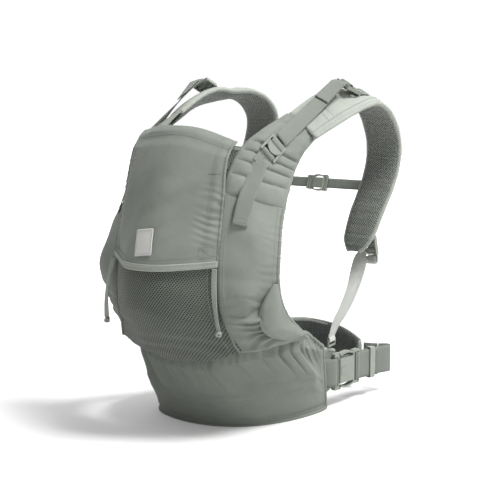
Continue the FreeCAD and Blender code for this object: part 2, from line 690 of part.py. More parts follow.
def buckle_male(label, kind, place):
    """The male half: a ladder frame that the webbing wraps, a cross wall and a guide tongue."""
    body = new_body(label, place)
    d = f"dims.{kind}_"
    frame = rectangle(body, f"{label}_frame", (f"{d}block_length + 1", f"{d}ladder_end",
                                               f"-{d}frame_half + 2", f"{d}frame_half - 2"))
    pad(body, f"{label}_frame_pad", frame, f"{d}frame_half_depth * 2")
    for number, (low, high) in enumerate(((0.0, 0.30), (0.52, 0.82))):
        span = f"({d}ladder_end - {d}ladder_start)"
        bounds = (f"{d}ladder_start + {span} * {low}", f"{d}ladder_start + {span} * {high}",
                  f"-{d}slot_half", f"{d}slot_half")
        slot = rectangle(body, f"{label}_slot_{number}", bounds)
        pocket(body, f"{label}_slot_cut_{number}", slot, f"{d}frame_half_depth * 4")
    tongue = rectangle(body, f"{label}_tongue", (f"{d}block_length * 0.42", f"{d}block_length + 2",
                                                 f"-{d}tongue_half", f"{d}tongue_half"))
    pad(body, f"{label}_tongue_pad", tongue, f"{d}tongue_half_depth * 2")
    round_uprights(body, f"{label}_corners", 2, low=(size(f"{kind}_ladder_end") - 1, -99))
    return body


def buckle_arm(label, kind, place, sign):
    """One spring arm: a shallow arch from the male half's frame forwards to the female half's ear."""
    d = f"dims.{kind}_"
    tip = f"({d}ear_length + dims.clearance)"
    middle = f"({d}block_length + {tip}) / 2"
    centre_y = f"({d}arm_rise - {d}arm_radius)"
    rings = []
    for word, radius in (("outer", f"{d}arm_radius"), ("inner", f"{d}arm_radius - {d}arm_thickness")):
        ring = DOC.addObject("Part::Cylinder", f"{label}_{word}")
        ring.setExpression("Radius", radius)
        ring.setExpression("Height", f"{d}arm_half_depth * 2")
        ring.setExpression(".Placement.Base.x", middle)
        ring.setExpression(".Placement.Base.y", centre_y)
        ring.setExpression(".Placement.Base.z", f"-{d}arm_half_depth")
        rings.append(ring)
    arch = DOC.addObject("Part::Cut", f"{label}_arch")
    arch.Base, arch.Tool = rings
    window = DOC.addObject("Part::Box", f"{label}_window")
    window.setExpression("Length", f"{d}block_length - {tip}")
    window.setExpression("Width", f"{d}arm_radius")
    window.setExpression("Height", f"{d}arm_half_depth * 2")
    window.setExpression(".Placement.Base.x", tip)
    window.setExpression(".Placement.Base.z", f"-{d}arm_half_depth")
    arm = DOC.addObject("Part::Common", label)
    arm.Label = label
    arm.Base, arm.Tool = arch, window
    turn = Rotation() if sign > 0 else Rotation(Vector(1, 0, 0), 180)
    arm.Placement = place.multiply(Placement(Vector(0, 0, 0), turn))
    NODES.append(arm)
    return arm


# The waist buckle lies on the belt's right-hand side: local X runs back along the belt, local Z outwards.
WAIST_TURN = Rotation(Vector(0.03, 1, 0), Vector(0, 0, 1), Vector(1, -0.03, 0), "XYZ")
WAIST_PLACE = Placement(Vector(120.5, 44, 0), WAIST_TURN)
# The chest buckle lies behind the wearer's neck: local X runs towards the left, local Z outwards.
CHEST_TURN = Rotation(Vector(-1, 0, 0), Vector(0, 0.29, 0.957), Vector(0, 0.957, -0.29), "XYZ")
CHEST_PLACE = Placement(Vector(13, 155.5, 320.5), CHEST_TURN)


def build_waist_buckle():
    female = buckle_female("waist_female", "waist", WAIST_PLACE)
    window = rectangle(female, "waist_button_window", ("2", "2 + dims.button_length + dims.clearance * 2",
                                                       "-dims.button_half - dims.clearance",
                                                       "dims.button_half + dims.clearance"))
    window.setExpression(".AttachmentOffset.Base.z", "dims.waist_block_half_depth")
    cut = pocket(female, "waist_button_cut", window, "(dims.button_thickness + 1.2) * 2")
    cut.Midplane = True
    buckle_male("waist_male", "waist", WAIST_PLACE)
    for word, sign in (("upper", 1), ("lower", -1)):
        buckle_arm(f"waist_arm_{word}", "waist", WAIST_PLACE, sign)
    button = new_body("waist_button", WAIST_PLACE)
    outline = rectangle(button, "waist_button_outline", ("2 + dims.clearance",
                                                         "2 + dims.clearance + dims.button_length",
                                                         "-dims.button_half", "dims.button_half"))
    pad(button, "waist_button_pad", outline, "dims.button_thickness",
        "dims.waist_block_half_depth - dims.button_thickness + 0.4")
    round_uprights(button, "waist_button_corners", 2, low=(-99, -99), high=(6, 99))


def build_waist_webbing():
    """The waist webbing: an anchor on the pad, the buckle's loop out to its fold, and the far return."""
    width, thick = size("waist_webbing_width"), size("waist_webbing_thickness")
    up = Vector(0, 0, 1)
    place = WAIST_PLACE
    bar = -size("waist_frame_length")
    wrap = [(bar - 20, -5.4), (bar - 6, 6.2), (bar + 7.2, 6.2), (bar + 7.2, -6.2), (bar - 7, -6.2),
            (bar - 20, -7.7)]
    anchor = [place.multVec(Vector(along, 0, out)) for along, out in wrap]
    add_soft("waist_anchor", strip(rounded_route(anchor)[0], anchor, up, width, thick))
    ladder_end = size("waist_ladder_end")
    outer_start = place.multVec(Vector(ladder_end + 1.5, 0, 2.4))
    inner_start = place.multVec(Vector(ladder_end + 1.5, 0, -2.4))
    inner = [inner_start, Vector(124, 132, 0), Vector(130, 160, 0), Vector(138, 182, 0), Vector(140, 194, 0),
             Vector(132, 196.5, 0), Vector(124, 191.5, 0), Vector(117.5, 186.2, 0)]
    outer = [outer_start, Vector(128.6, 131, 0), Vector(134.4, 157, 0)]
    loop = [strip(rounded_route(line)[0], line, up, width, thick) for line in (inner, outer)]
    add_soft("waist_webbing_loop", Part.makeCompound(loop))
    back = [Vector(116.4, 185.4, 0), Vector(110, 181.4, 0), Vector(101, 178.4, 0), Vector(91.5, 177, 0)]
    add_soft("waist_webbing", ribbon(back, [up] * 4, width, thick))
    turn = Rotation(Vector(0.19, 0.98, 0), Vector(0, 0, 1), Vector(1, 0, 0), "XYZ")
    keeper = new_body("webbing_keeper", Placement(Vector(128.3, 141, 0), turn))
    band = ("-dims.keeper_half_height", "dims.keeper_half_height", "-dims.keeper_half_depth",
            "dims.keeper_half_depth")
    outline = rectangle(keeper, "keeper_outline", band, "YZ_Plane")
    hole = ("-dims.keeper_half_height + dims.keeper_wall", "dims.keeper_half_height - dims.keeper_wall",
            "-dims.keeper_half_depth + dims.keeper_wall", "dims.keeper_half_depth - dims.keeper_wall")
    add_rectangle(outline, hole)
    pad(keeper, "keeper_band", outline, "dims.keeper_width")


def build_belt_loops():
    """Flat loops above the belt's ends that the lower shoulder webbing is sewn round."""
    width, height, wall = size("lifter_width") + 7, 13, 3
    plate = Part.makeBox(width, wall, height, Vector(-width / 2, -wall / 2, -height / 2))
    hole = Vector(wall - width / 2, -wall, wall - height / 2)
    plate = plate.cut(Part.makeBox(width - 2 * wall, wall * 2, height - 2 * wall, hole))
    for word, side in (("right", 1), ("left", -1)):
        loop = plate.copy()
        turn = Rotation(side_vector(BELT_LOOP_SIDE, side), Vector(), Vector(0, 0, 1), "XZY")
        loop.Placement = Placement(BELT_LOOPS[word], turn)
        add_soft(f"belt_loop_{word}", loop)


# ---------------------------------------------------------------- chest strap

SLIDE_DIRECTION = Vector(0, 0.29, 0.957)
SLIDER_X = 141


def build_chest():
    place = CHEST_PLACE
    buckle_female("chest_female", "chest", place)
    buckle_male("chest_male", "chest", place)
    for word, sign in (("upper", 1), ("lower", -1)):
        buckle_arm(f"chest_arm_{word}", "chest", place, sign)
    width, thick = size("chest_webbing_width"), size("chest_webbing_thickness")
    up = unit(SLIDE_DIRECTION)
    outward = place.Rotation.multVec(Vector(0, 0, 1))
    female_end = place.multVec(Vector(-size("chest_frame_length") - 0.6, 0, 0))
    male_end = place.multVec(Vector(size("chest_ladder_end") + 0.6, 0, 0))
    level = Vector(0, place.Base.y, place.Base.z)
    right_end, left_end = level + Vector(SLIDER_X, 0, 0), level - Vector(SLIDER_X, 0, 0)
    add_soft("chest_webbing_right", straight_ribbon(female_end, right_end, up, width, thick))
    add_soft("chest_webbing_left", straight_ribbon(male_end, left_end, up, width, thick))
    anchor = right_end - outward * (size("slider_half_depth") + size("clearance") + thick / 2)
    for word, side in (("right", 1), ("left", -1)):
        centre = Vector(anchor.x * side, anchor.y, anchor.z)
        name = f"chest_slider_{word}"
        slider = new_body(name, Placement(centre, Rotation(Vector(1, 0, 0), up, outward, "XYZ")))
        block = rectangle(slider, f"{name}_block", ("-dims.slider_half_width", "dims.slider_half_width",
                                                    "-dims.slider_half_height", "dims.slider_half_height"))
        pad(slider, f"{name}_pad", block, "dims.slider_half_depth * 2")
        bounds = ("-dims.rail_width / 2 - dims.clearance", "dims.rail_width / 2 + dims.clearance",
                  "-dims.slider_half_height - 1", "dims.slider_half_height + 1")
        tunnel = rectangle(slider, f"{name}_tunnel", bounds)
        pocket(slider, f"{name}_tunnel_cut", tunnel, "dims.rail_thickness + dims.clearance * 2")
        round_uprights(slider, f"{name}_corners", 3)
    straight, reach = size("rail_half_length"), size("rail_half_length") + size("rail_end_length")
    drop = outward * size("rail_end_drop")
    low = [anchor - up * reach - drop, anchor - up * straight]
    high = [anchor + up * straight, anchor + up * reach - drop]
    rail_line = low + high
    rail = strip(rounded_route(rail_line)[0], rail_line, Vector(1, 0, 0), size("rail_width"),
                 size("rail_thickness"))
    add_pair("chest_rail", rail)


# ---------------------------------------------------------------- label and draw tapes

CORD_RIGHT = [Vector(105, -285, 222), Vector(106, -288, 200), Vector(108, -289.5, 172),
              Vector(110, -288, 146), Vector(112, -284, 124)]
CORD_LEFT = [Vector(-106, -286, 222), Vector(-109, -292, 200), Vector(-112, -297, 173),
             Vector(-113, -299, 146), Vector(-112.5, -298, 123)]


def tape(points):
    """A flat draw tape along its route, its width across the panel."""
    route, radii = rounded_route(points)
    width, thickness = size("cord_width"), size("cord_thickness")
    solid = strip(route, points, Vector(1, 0, 0), width, thickness)
    print("draw tape radii", [round(radius) for radius in radii], "mm, length", round(route.Length, 1),
          "mm, volume ratio", round(solid.Volume / (width * thickness * route.Length), 3))
    return solid


def build_tapes():
    for word, points in (("right", CORD_RIGHT), ("left", CORD_LEFT)):
        add_soft(f"drawcord_{word}", tape(points))
        knot = DOC.addObject("Part::Ellipsoid", f"drawcord_knot_{word}")
        knot.Label = f"drawcord_knot_{word}"
        knot.setExpression("Radius1", "dims.knot_radius * 0.8")
        knot.setExpression("Radius2", "dims.knot_radius")
        knot.setExpression("Radius3", "dims.knot_radius * 0.7")
        end = points[-1]
        knot.Placement = Placement(end - Vector(0, 0, size("knot_radius") * 0.8 + 0.3), Rotation())
        NODES.append(knot)


LABEL_SHARE = 0.85                                # how far down the flap the label's middle is


def build_label():
    """The sewn label, low on the middle of the flap, just clear of its cloth."""
    surface = patch(bowed_rows(FLAP_ROWS, FLAP_DROOP))
    low_u, high_u, low_v, high_v = surface.bounds()
    down = low_u + (high_u - low_u) * LABEL_SHARE
    across = (low_v + high_v) / 2
    outward = surface.normal(down, across)
    if outward.y > 0:
        outward = outward * -1
    lift = size("label_thickness") / 2 + 1.4
    side = Vector(1, 0, 0)
    tilt = Rotation(side, outward.cross(side), outward, "XZY")
    body = new_body("flap_label", Placement(surface.value(down, across) + outward * lift, tilt))
    outline = rectangle(body, "label_outline", ("-dims.label_width / 2", "dims.label_width / 2",
                                                "-dims.label_height / 2", "dims.label_height / 2"))
    pad(body, "label_pad", outline, "dims.label_thickness")
    round_uprights(body, "label_corners", 1.5)


# ---------------------------------------------------------------- build, check and export

def check_all():
    DOC.recompute()
    for item in DOC.Objects:
        if "Invalid" in item.State or "Error" in item.State:
            raise RuntimeError(f"{item.Label} failed: {item.State}")
    for node in NODES:
        shape = node.Shape
        if shape.isNull() or not shape.isValid() or shape.Volume <= 0:
            raise RuntimeError(f"{node.Label} has no valid solid")


def export_all():
    os.makedirs("parts", exist_ok=True)
    for node in NODES:
        node.Shape.exportStep(f"parts/{node.Label}.step")
        box = node.Shape.optimalBoundingBox(False)
        print(f"{node.Label:24s} {node.Shape.Volume / 1000:9.2f} cm3  "
              f"x {box.XMin:7.1f} {box.XMax:7.1f}  y {box.YMin:7.1f} {box.YMax:7.1f}  "
              f"z {box.ZMin:7.1f} {box.ZMax:7.1f}")


def main():
    build_panel()
    build_flap()
    build_label()
    build_tapes()
    build_belt()
    build_strap()
    build_locks()
    build_lifters()
    build_lower_webbing()
    build_waist_buckle()
    build_waist_webbing()
    build_belt_loops()
    build_chest()
    check_all()
    export_all()
    print(len(NODES), "nodes")


main()
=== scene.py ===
"""Soft baby carrier: its looks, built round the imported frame. Metres, +Z up, the panel facing -Y."""
import math
import bpy
import numpy as np
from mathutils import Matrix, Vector


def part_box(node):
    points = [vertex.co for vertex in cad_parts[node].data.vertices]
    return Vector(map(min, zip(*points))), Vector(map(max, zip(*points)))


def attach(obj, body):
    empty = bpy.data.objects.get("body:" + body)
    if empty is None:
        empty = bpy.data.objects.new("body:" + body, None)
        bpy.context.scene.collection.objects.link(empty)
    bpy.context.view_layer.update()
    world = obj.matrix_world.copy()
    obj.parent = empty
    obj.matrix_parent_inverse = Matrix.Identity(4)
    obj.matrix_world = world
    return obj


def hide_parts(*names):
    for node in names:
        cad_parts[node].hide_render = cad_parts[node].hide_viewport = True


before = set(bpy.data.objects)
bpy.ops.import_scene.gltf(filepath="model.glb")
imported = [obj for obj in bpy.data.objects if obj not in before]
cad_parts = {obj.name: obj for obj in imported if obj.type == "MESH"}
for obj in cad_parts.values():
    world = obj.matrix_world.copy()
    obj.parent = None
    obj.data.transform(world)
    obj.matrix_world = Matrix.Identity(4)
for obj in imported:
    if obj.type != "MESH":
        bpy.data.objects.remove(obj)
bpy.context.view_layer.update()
ROOT, FLAP, MALE = "carrier", "flap_body", "waist_male_half"
CHEST, CHEST_MALE = "chest_set", "chest_male_half"
WORDS = {1: "right", -1: "left"}
FLOOR_LEVEL, WHITE = -0.0632, (1, 1, 1, 1)
THREAD_LIFT = 0.0003


# ---- camera, lights and stage

def add_object(name, data):
    item = bpy.data.objects.new(name, data)
    bpy.context.collection.objects.link(item)
    return item


def aim(item, place, target):
    item.location = place
    item.rotation_mode = "QUATERNION"
    item.rotation_quaternion = (Vector(target) - Vector(place)).to_track_quat("-Z", "Y")


def make_camera():
    data = bpy.data.cameras.new("camera")
    data.lens, data.sensor_width = 92, 36
    camera = add_object("camera", data)
    aim(camera, (1.3273, -1.8153, 0.5269), (-0.0434, 0.0037, 0.2068))
    bpy.context.scene.camera = camera


def area_light(name, place, target, width, watts):
    data = bpy.data.lights.new(name, "AREA")
    data.shape, data.size, data.energy = "SQUARE", width, watts
    aim(add_object(name, data), place, target)


def fill(node, **values):
    """Set a node's inputs by name, with underscores for the spaces in the names."""
    for name, value in values.items():
        node.inputs[name.replace("_", " ")].default_value = value
    return node


def fade(nodes, low, high, out_low=0.0, out_high=1.0):
    """A node that takes its value smoothly from one range into another."""
    node = nodes.new("ShaderNodeMapRange")
    node.interpolation_type = "SMOOTHSTEP"
    return fill(node, From_Min=low, From_Max=high, To_Min=out_low, To_Max=out_high)


def shade_by_place(tree, space, operation, other, ranges, socket):
    """Let a measure of the position set a socket's value, smoothly from one range into another."""
    nodes, links = tree.nodes, tree.links
    measure, ramp = nodes.new("ShaderNodeVectorMath"), fade(nodes, *ranges)
    measure.operation = operation
    measure.inputs[1].default_value = other
    links.new(nodes.new("ShaderNodeTexCoord").outputs[space], measure.inputs[0])
    links.new(measure.outputs["Value"], ramp.inputs["Value"])
    links.new(ramp.outputs["Result"], socket)


def paint_sky(world):
    """A white room: bright behind and overhead, dimmer on the side the carrier faces."""
    world.use_nodes = True
    sky = fill(world.node_tree.nodes["Background"], Color=WHITE)
    shade_by_place(world.node_tree, "Generated", "DOT_PRODUCT", (-0.24, 0.94, 0.24),
                   (-0.35, 0.55, 0.24, 1.02), sky.inputs["Strength"])
    return world


def paint_floor(material):
    """Pale grey round the carrier, brightening to white away from it."""
    material.use_nodes = True
    shader = fill(material.node_tree.nodes["Principled BSDF"], Base_Color=(0.7, 0.7, 0.7, 1), Roughness=0.9,
                  Emission_Color=WHITE)
    shade_by_place(material.node_tree, "Object", "LENGTH", (0, 0, 0), (0.5, 2.2, 0.12, 1.0),
                   shader.inputs["Emission Strength"])
    return material


def make_stage():
    area_light("key", (1.5, 0.15, 2.9), (0.05, -0.05, 0.25), 1.0, 150)
    area_light("side", (2.6, -1.3, 1.0), (0, -0.1, 0.2), 1.0, 12)
    area_light("rim", (0.4, 2.2, 1.9), (0, 0, 0.3), 1.2, 14)
    bpy.context.scene.world = paint_sky(bpy.data.worlds.new("studio"))
    corners = [(x, y, FLOOR_LEVEL) for x, y in ((-6, -6), (6, -6), (6, 6), (-6, 6))]
    floor = make_mesh("floor", corners, [(0, 1, 2, 3)])
    floor.data.materials.append(paint_floor(bpy.data.materials.new("floor")))
    bpy.context.scene.view_settings.view_transform = "Standard"


# ---- meshes

def make_mesh(name, points, faces, uv=None):
    """A smooth mesh object; uv holds one pair of metres per vertex, laid along the cloth."""
    mesh = bpy.data.meshes.new(name)
    mesh.from_pydata([tuple(map(float, p)) for p in points], [], faces)
    mesh.polygons.foreach_set("use_smooth", [True] * len(mesh.polygons))
    if uv is not None:
        layer = mesh.uv_layers.new(name="cloth")
        index = np.zeros(len(mesh.loops), dtype=np.int32)
        mesh.loops.foreach_get("vertex_index", index)
        layer.data.foreach_set("uv", np.asarray(uv, dtype=np.float32)[index].ravel())
    return add_object(name, mesh)


def finish_piece(item, body, material, replaces=()):
    item.data.materials.append(material)
    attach(item, body)
    if replaces:
        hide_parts(*replaces)
    return item


def flipped(points, faces, side):
    """The left-hand copy is the right-hand one with x negated and its faces turned round."""
    if side > 0:
        return points, faces
    return np.asarray(points) * (-1, 1, 1), [tuple(reversed(face)) for face in faces]


def basis(count, samples):
    """Weights of a clamped uniform quadratic B-spline: samples by control points."""
    knots = np.array([0, 0, *range(count - 1), count - 2, count - 2])
    where = np.linspace(0, count - 2 - 1e-9, samples)[:, None]
    weights = ((where >= knots[:-1]) & (where < knots[1:])).astype(float)
    for degree in (1, 2):
        share = (where - knots[:-degree]) / np.maximum(knots[degree:] - knots[:-degree], 1)
        weights = share[:, :-1] * weights[:, :-1] + (1 - share[:, 1:]) * weights[:, 1:]
    return weights


def surface(rows, along, across):
    """Points of the quadratic surface over a grid of control points given in millimetres."""
    control = np.array(rows, dtype=float) / 1000
    weights = basis(control.shape[0], along), basis(control.shape[1], across)
    return np.einsum("ia,jb,abk->ijk", *weights, control)


def curve(points, samples):
    control = np.array(points, dtype=float) / 1000
    return basis(len(control), samples) @ control


def unit(vectors):
    length = np.linalg.norm(vectors, axis=-1, keepdims=True)
    return vectors / np.maximum(length, 1e-12)


def normals(grid):
    return unit(np.cross(np.gradient(grid, axis=0), np.gradient(grid, axis=1)))


def lengths(grid):
    """Distances along the cloth in metres, across (u) and down (v), for every grid point."""
    step_v = np.linalg.norm(np.diff(grid, axis=0), axis=2)
    step_u = np.linalg.norm(np.diff(grid, axis=1), axis=2)
    v = np.vstack([np.zeros(grid.shape[1]), np.cumsum(step_v, axis=0)])
    u = np.hstack([np.zeros((grid.shape[0], 1)), np.cumsum(step_u, axis=1)])
    return u - u[:, -1:] / 2, v


def noise(u, v, size, seed):
    """Smooth random hills from -1 to 1, about one size across, the same on every run."""
    table = np.random.RandomState(seed).uniform(-1, 1, (64, 64))
    x, y = np.asarray(u) / size + 17.3, np.asarray(v) / size + 31.7
    i, j = np.floor(x).astype(int), np.floor(y).astype(int)
    a, b = x - i, y - j
    a, b = a * a * (3 - 2 * a), b * b * (3 - 2 * b)
    top = table[i % 64, j % 64] * (1 - a) + table[(i + 1) % 64, j % 64] * a
    low = table[i % 64, (j + 1) % 64] * (1 - a) + table[(i + 1) % 64, (j + 1) % 64] * a
    return top * (1 - b) + low * b


def near(value, centre, reach):
    """1 at the centre, fading smoothly to 0 at the reach."""
    f = np.clip(1 - np.abs(value - centre) / reach, 0, 1)
    return f * f * (3 - 2 * f)


def lay(rows, along, across):
    """A surface's grid, and its rows' and columns' positions from 0 to 1."""
    grid = surface(rows, along, across)
    return (grid, *np.meshgrid(np.linspace(0, 1, along), np.linspace(0, 1, across), indexing="ij"))


def moved(grid, weight, *offset):
    """The grid carried by an offset in metres, in full where the weight is 1."""
    return grid + weight[..., None] * np.array(offset)


def wobbly(base, depth, samples, step, size, seed):
    """A radius that wavers along a tube; the samples lie a step apart, in metres."""
    return base + depth * noise(np.arange(samples) * step, 0, size, seed)


def gathered(base, depth, bumps, samples):
    """A radius that swells into regular bumps, as an elastic edge does."""
    return base + depth * np.abs(np.sin(np.linspace(0, bumps * np.pi, samples)))


class Cloth:
    """A layer of cloth over a grid: its visible surface, and the normals on it."""

    def __init__(self, grid, out, back, up=1):
        self.middle = grid
        self.outer, self.inner = [grid + normals(grid) * up * np.broadcast_to(rise, grid.shape[:2])[..., None]
                                  for rise in (out, back)]
        self.normal = normals(self.outer) * up
        self.up = up
        self.u, self.v = lengths(grid)

    def make(self, name, body, slot, material, replaces=(), side=1, rim=0.4):
        """A closed piece: outer face, inner face, and a rim rounded out by a share of the thickness."""
        rows, columns = self.outer.shape[:2]
        count = rows * columns
        number = np.arange(count).reshape(rows, columns)
        quads = np.stack([number[:-1, :-1], number[:-1, 1:], number[1:, 1:], number[1:, :-1]], axis=-1)
        quads = quads.reshape(-1, 4)[:, ::-self.up]
        faces = [tuple(q) for q in quads] + [tuple(q + count) for q in quads[:, ::-1]]
        loop = [*number[0], *number[1:, -1], *number[-1, -2::-1], *number[-2:0:-1, 0]]
        push = np.zeros((rows, columns, 3))
        for edge, inside in ((0, 1), (-1, -2)):
            push[edge] += self.middle[edge] - self.middle[inside]
            push[:, edge] += self.middle[:, edge] - self.middle[:, inside]
        outer, inner, push = [part.reshape(-1, 3) for part in (self.outer, self.inner, push)]
        thick = np.linalg.norm(outer[loop] - inner[loop], axis=1, keepdims=True)
        ring = (outer[loop] + inner[loop]) / 2 + unit(push[loop]) * thick * rim
        base = 2 * count
        for k, (here, after) in enumerate(zip(loop, loop[1:] + loop[:1])):
            a, b = base + k, base + (k + 1) % len(loop)
            faces += [quad[::self.up] for quad in ((here, after, b, a), (a, b, after + count, here + count))]
        points = np.vstack([outer, inner, ring])
        pairs = np.stack([self.u.ravel(), self.v.ravel()], axis=1)
        uv = np.vstack([pairs, pairs, pairs[loop]])
        points, faces = flipped(points, faces, side)
        return finish_piece(make_mesh(name, points, faces, uv), body, material, replaces)

    def sample(self, down, across, lift=0.0):
        """Points on the visible surface, and the normals there, at positions from 0 to 1."""
        rows, columns = self.outer.shape[:2]
        i = np.clip(np.asarray(down, dtype=float), 0, 1) * (rows - 1)
        j = np.clip(np.asarray(across, dtype=float), 0, 1) * (columns - 1)
        i, j = np.broadcast_arrays(i, j)
        a, b = np.minimum(i.astype(int), rows - 2), np.minimum(j.astype(int), columns - 2)
        f, g = (i - a)[:, None], (j - b)[:, None]
        found = []
        for source in (self.outer, self.normal):
            found.append((source[a, b] * (1 - g) + source[a, b + 1] * g) * (1 - f)
                         + (source[a + 1, b] * (1 - g) + source[a + 1, b + 1] * g) * f)
        return found[0] + unit(found[1]) * lift, unit(found[1])


def resample(points, normal, step):
    """The line and its normals at even steps."""
    along = np.concatenate([[0], np.cumsum(np.linalg.norm(np.diff(points, axis=0), axis=1))])
    where = np.arange(step / 2, along[-1], step)
    pick = lambda values: np.stack([np.interp(where, along, values[:, k]) for k in range(3)], axis=1)
    return pick(points), unit(pick(normal))


def tube_faces(first, rings, segments):
    """Quads between rings of points that follow one another from a first index."""
    faces = []
    for ring in range(rings - 1):
        for k in range(segments):
            a, b = first + ring * segments + k, first + ring * segments + (k + 1) % segments
            faces.append((a, b, b + segments, a + segments))
    return faces


def stitches(name, lines, body=ROOT, side=1, step=0.0042, stitch=0.0027, radius=0.00042):
    """Rows of thread stitches, each a small six-sided capsule lying on the cloth."""
    points, faces = [], []
    turn = np.linspace(0, 2 * np.pi, 6, endpoint=False)[:, None]
    for line, normal in lines:
        spots, ups = resample(line, normal, step)
        heading = unit(np.gradient(spots, axis=0))
        for spot, up, ahead, beside in zip(spots, ups, heading, unit(np.cross(heading, ups))):
            base = len(points)
            for along, size in ((-0.5, 0.35), (-0.34, 1), (0.34, 1), (0.5, 0.35)):
                ring = (beside * np.cos(turn) + up * np.sin(turn)) * radius * size
                points += list(spot + ahead * stitch * along + ring)
            faces += tube_faces(base, 4, 6)
            faces += [tuple(base + k for k in range(5, -1, -1)), tuple(base + 18 + k for k in range(6))]
    points, faces = flipped(np.array(points), faces, side)
    return finish_piece(make_mesh(name, points, faces), body, THREAD)


def tube(name, line, radius, body, material, side=1, flat=1.0, up=None, segments=10, replaces=()):
    """A rounded tube along a line; radius may vary along it, and flat squashes it along up."""
    line = np.asarray(line, dtype=float)
    count = len(line)
    radius = np.broadcast_to(radius, count)
    heading = unit(np.gradient(line, axis=0))
    if up is None:
        carried = [unit(np.cross(heading[0], (0.3, 0.5, 0.8)))]
        for ahead in heading[1:]:
            carried.append(unit(carried[-1] - ahead * np.dot(carried[-1], ahead)))
        up = np.array(carried)
    else:
        up = unit(up - heading * np.sum(up * heading, axis=1, keepdims=True))
    beside = np.cross(heading, up)
    along = np.concatenate([[0], np.cumsum(np.linalg.norm(np.diff(line, axis=0), axis=1))])
    turn = np.linspace(0, 2 * np.pi, segments, endpoint=False)[:, None]
    points, uv = [], []
    for k in range(count):
        points += list(line[k] + (beside[k] * np.cos(turn) + up[k] * (np.sin(turn) * flat)) * radius[k])
        uv += [(angle * radius[k], along[k]) for angle in turn[:, 0]]
    faces = tube_faces(0, count, segments)
    for end, first, outwards in ((0, 0, -1), (-1, (count - 1) * segments, 1)):
        rim = [(first + s, first + (s + 1) % segments)[::outwards] for s in range(segments)]
        faces += [(len(points), *pair) for pair in rim]
        points.append(line[end] + outwards * heading[end] * radius[end] * 0.5)
        uv.append((0, along[end]))
    points, faces = flipped(np.array(points), faces, side)
    return finish_piece(make_mesh(name, points, faces, uv), body, material, replaces)


def strip(line, sides, width, thickness):
    """Webbing as a cloth layer along a line of points; its edges are a little thinner than its middle."""
    line, sides = np.asarray(line, dtype=float), np.asarray(sides, dtype=float)
    heading = unit(np.gradient(line, axis=0))
    sides = unit(sides - heading * np.sum(sides * heading, axis=1, keepdims=True))
    share = np.linspace(-0.5, 0.5, 9)
    grid = line[:, None, :] + sides[:, None, :] * (share * width)[None, :, None]
    half = thickness / 2 * (1 - 0.45 * np.abs(share * 2) ** 6)
    return Cloth(grid, half[None, :], -half[None, :])


# ---- materials

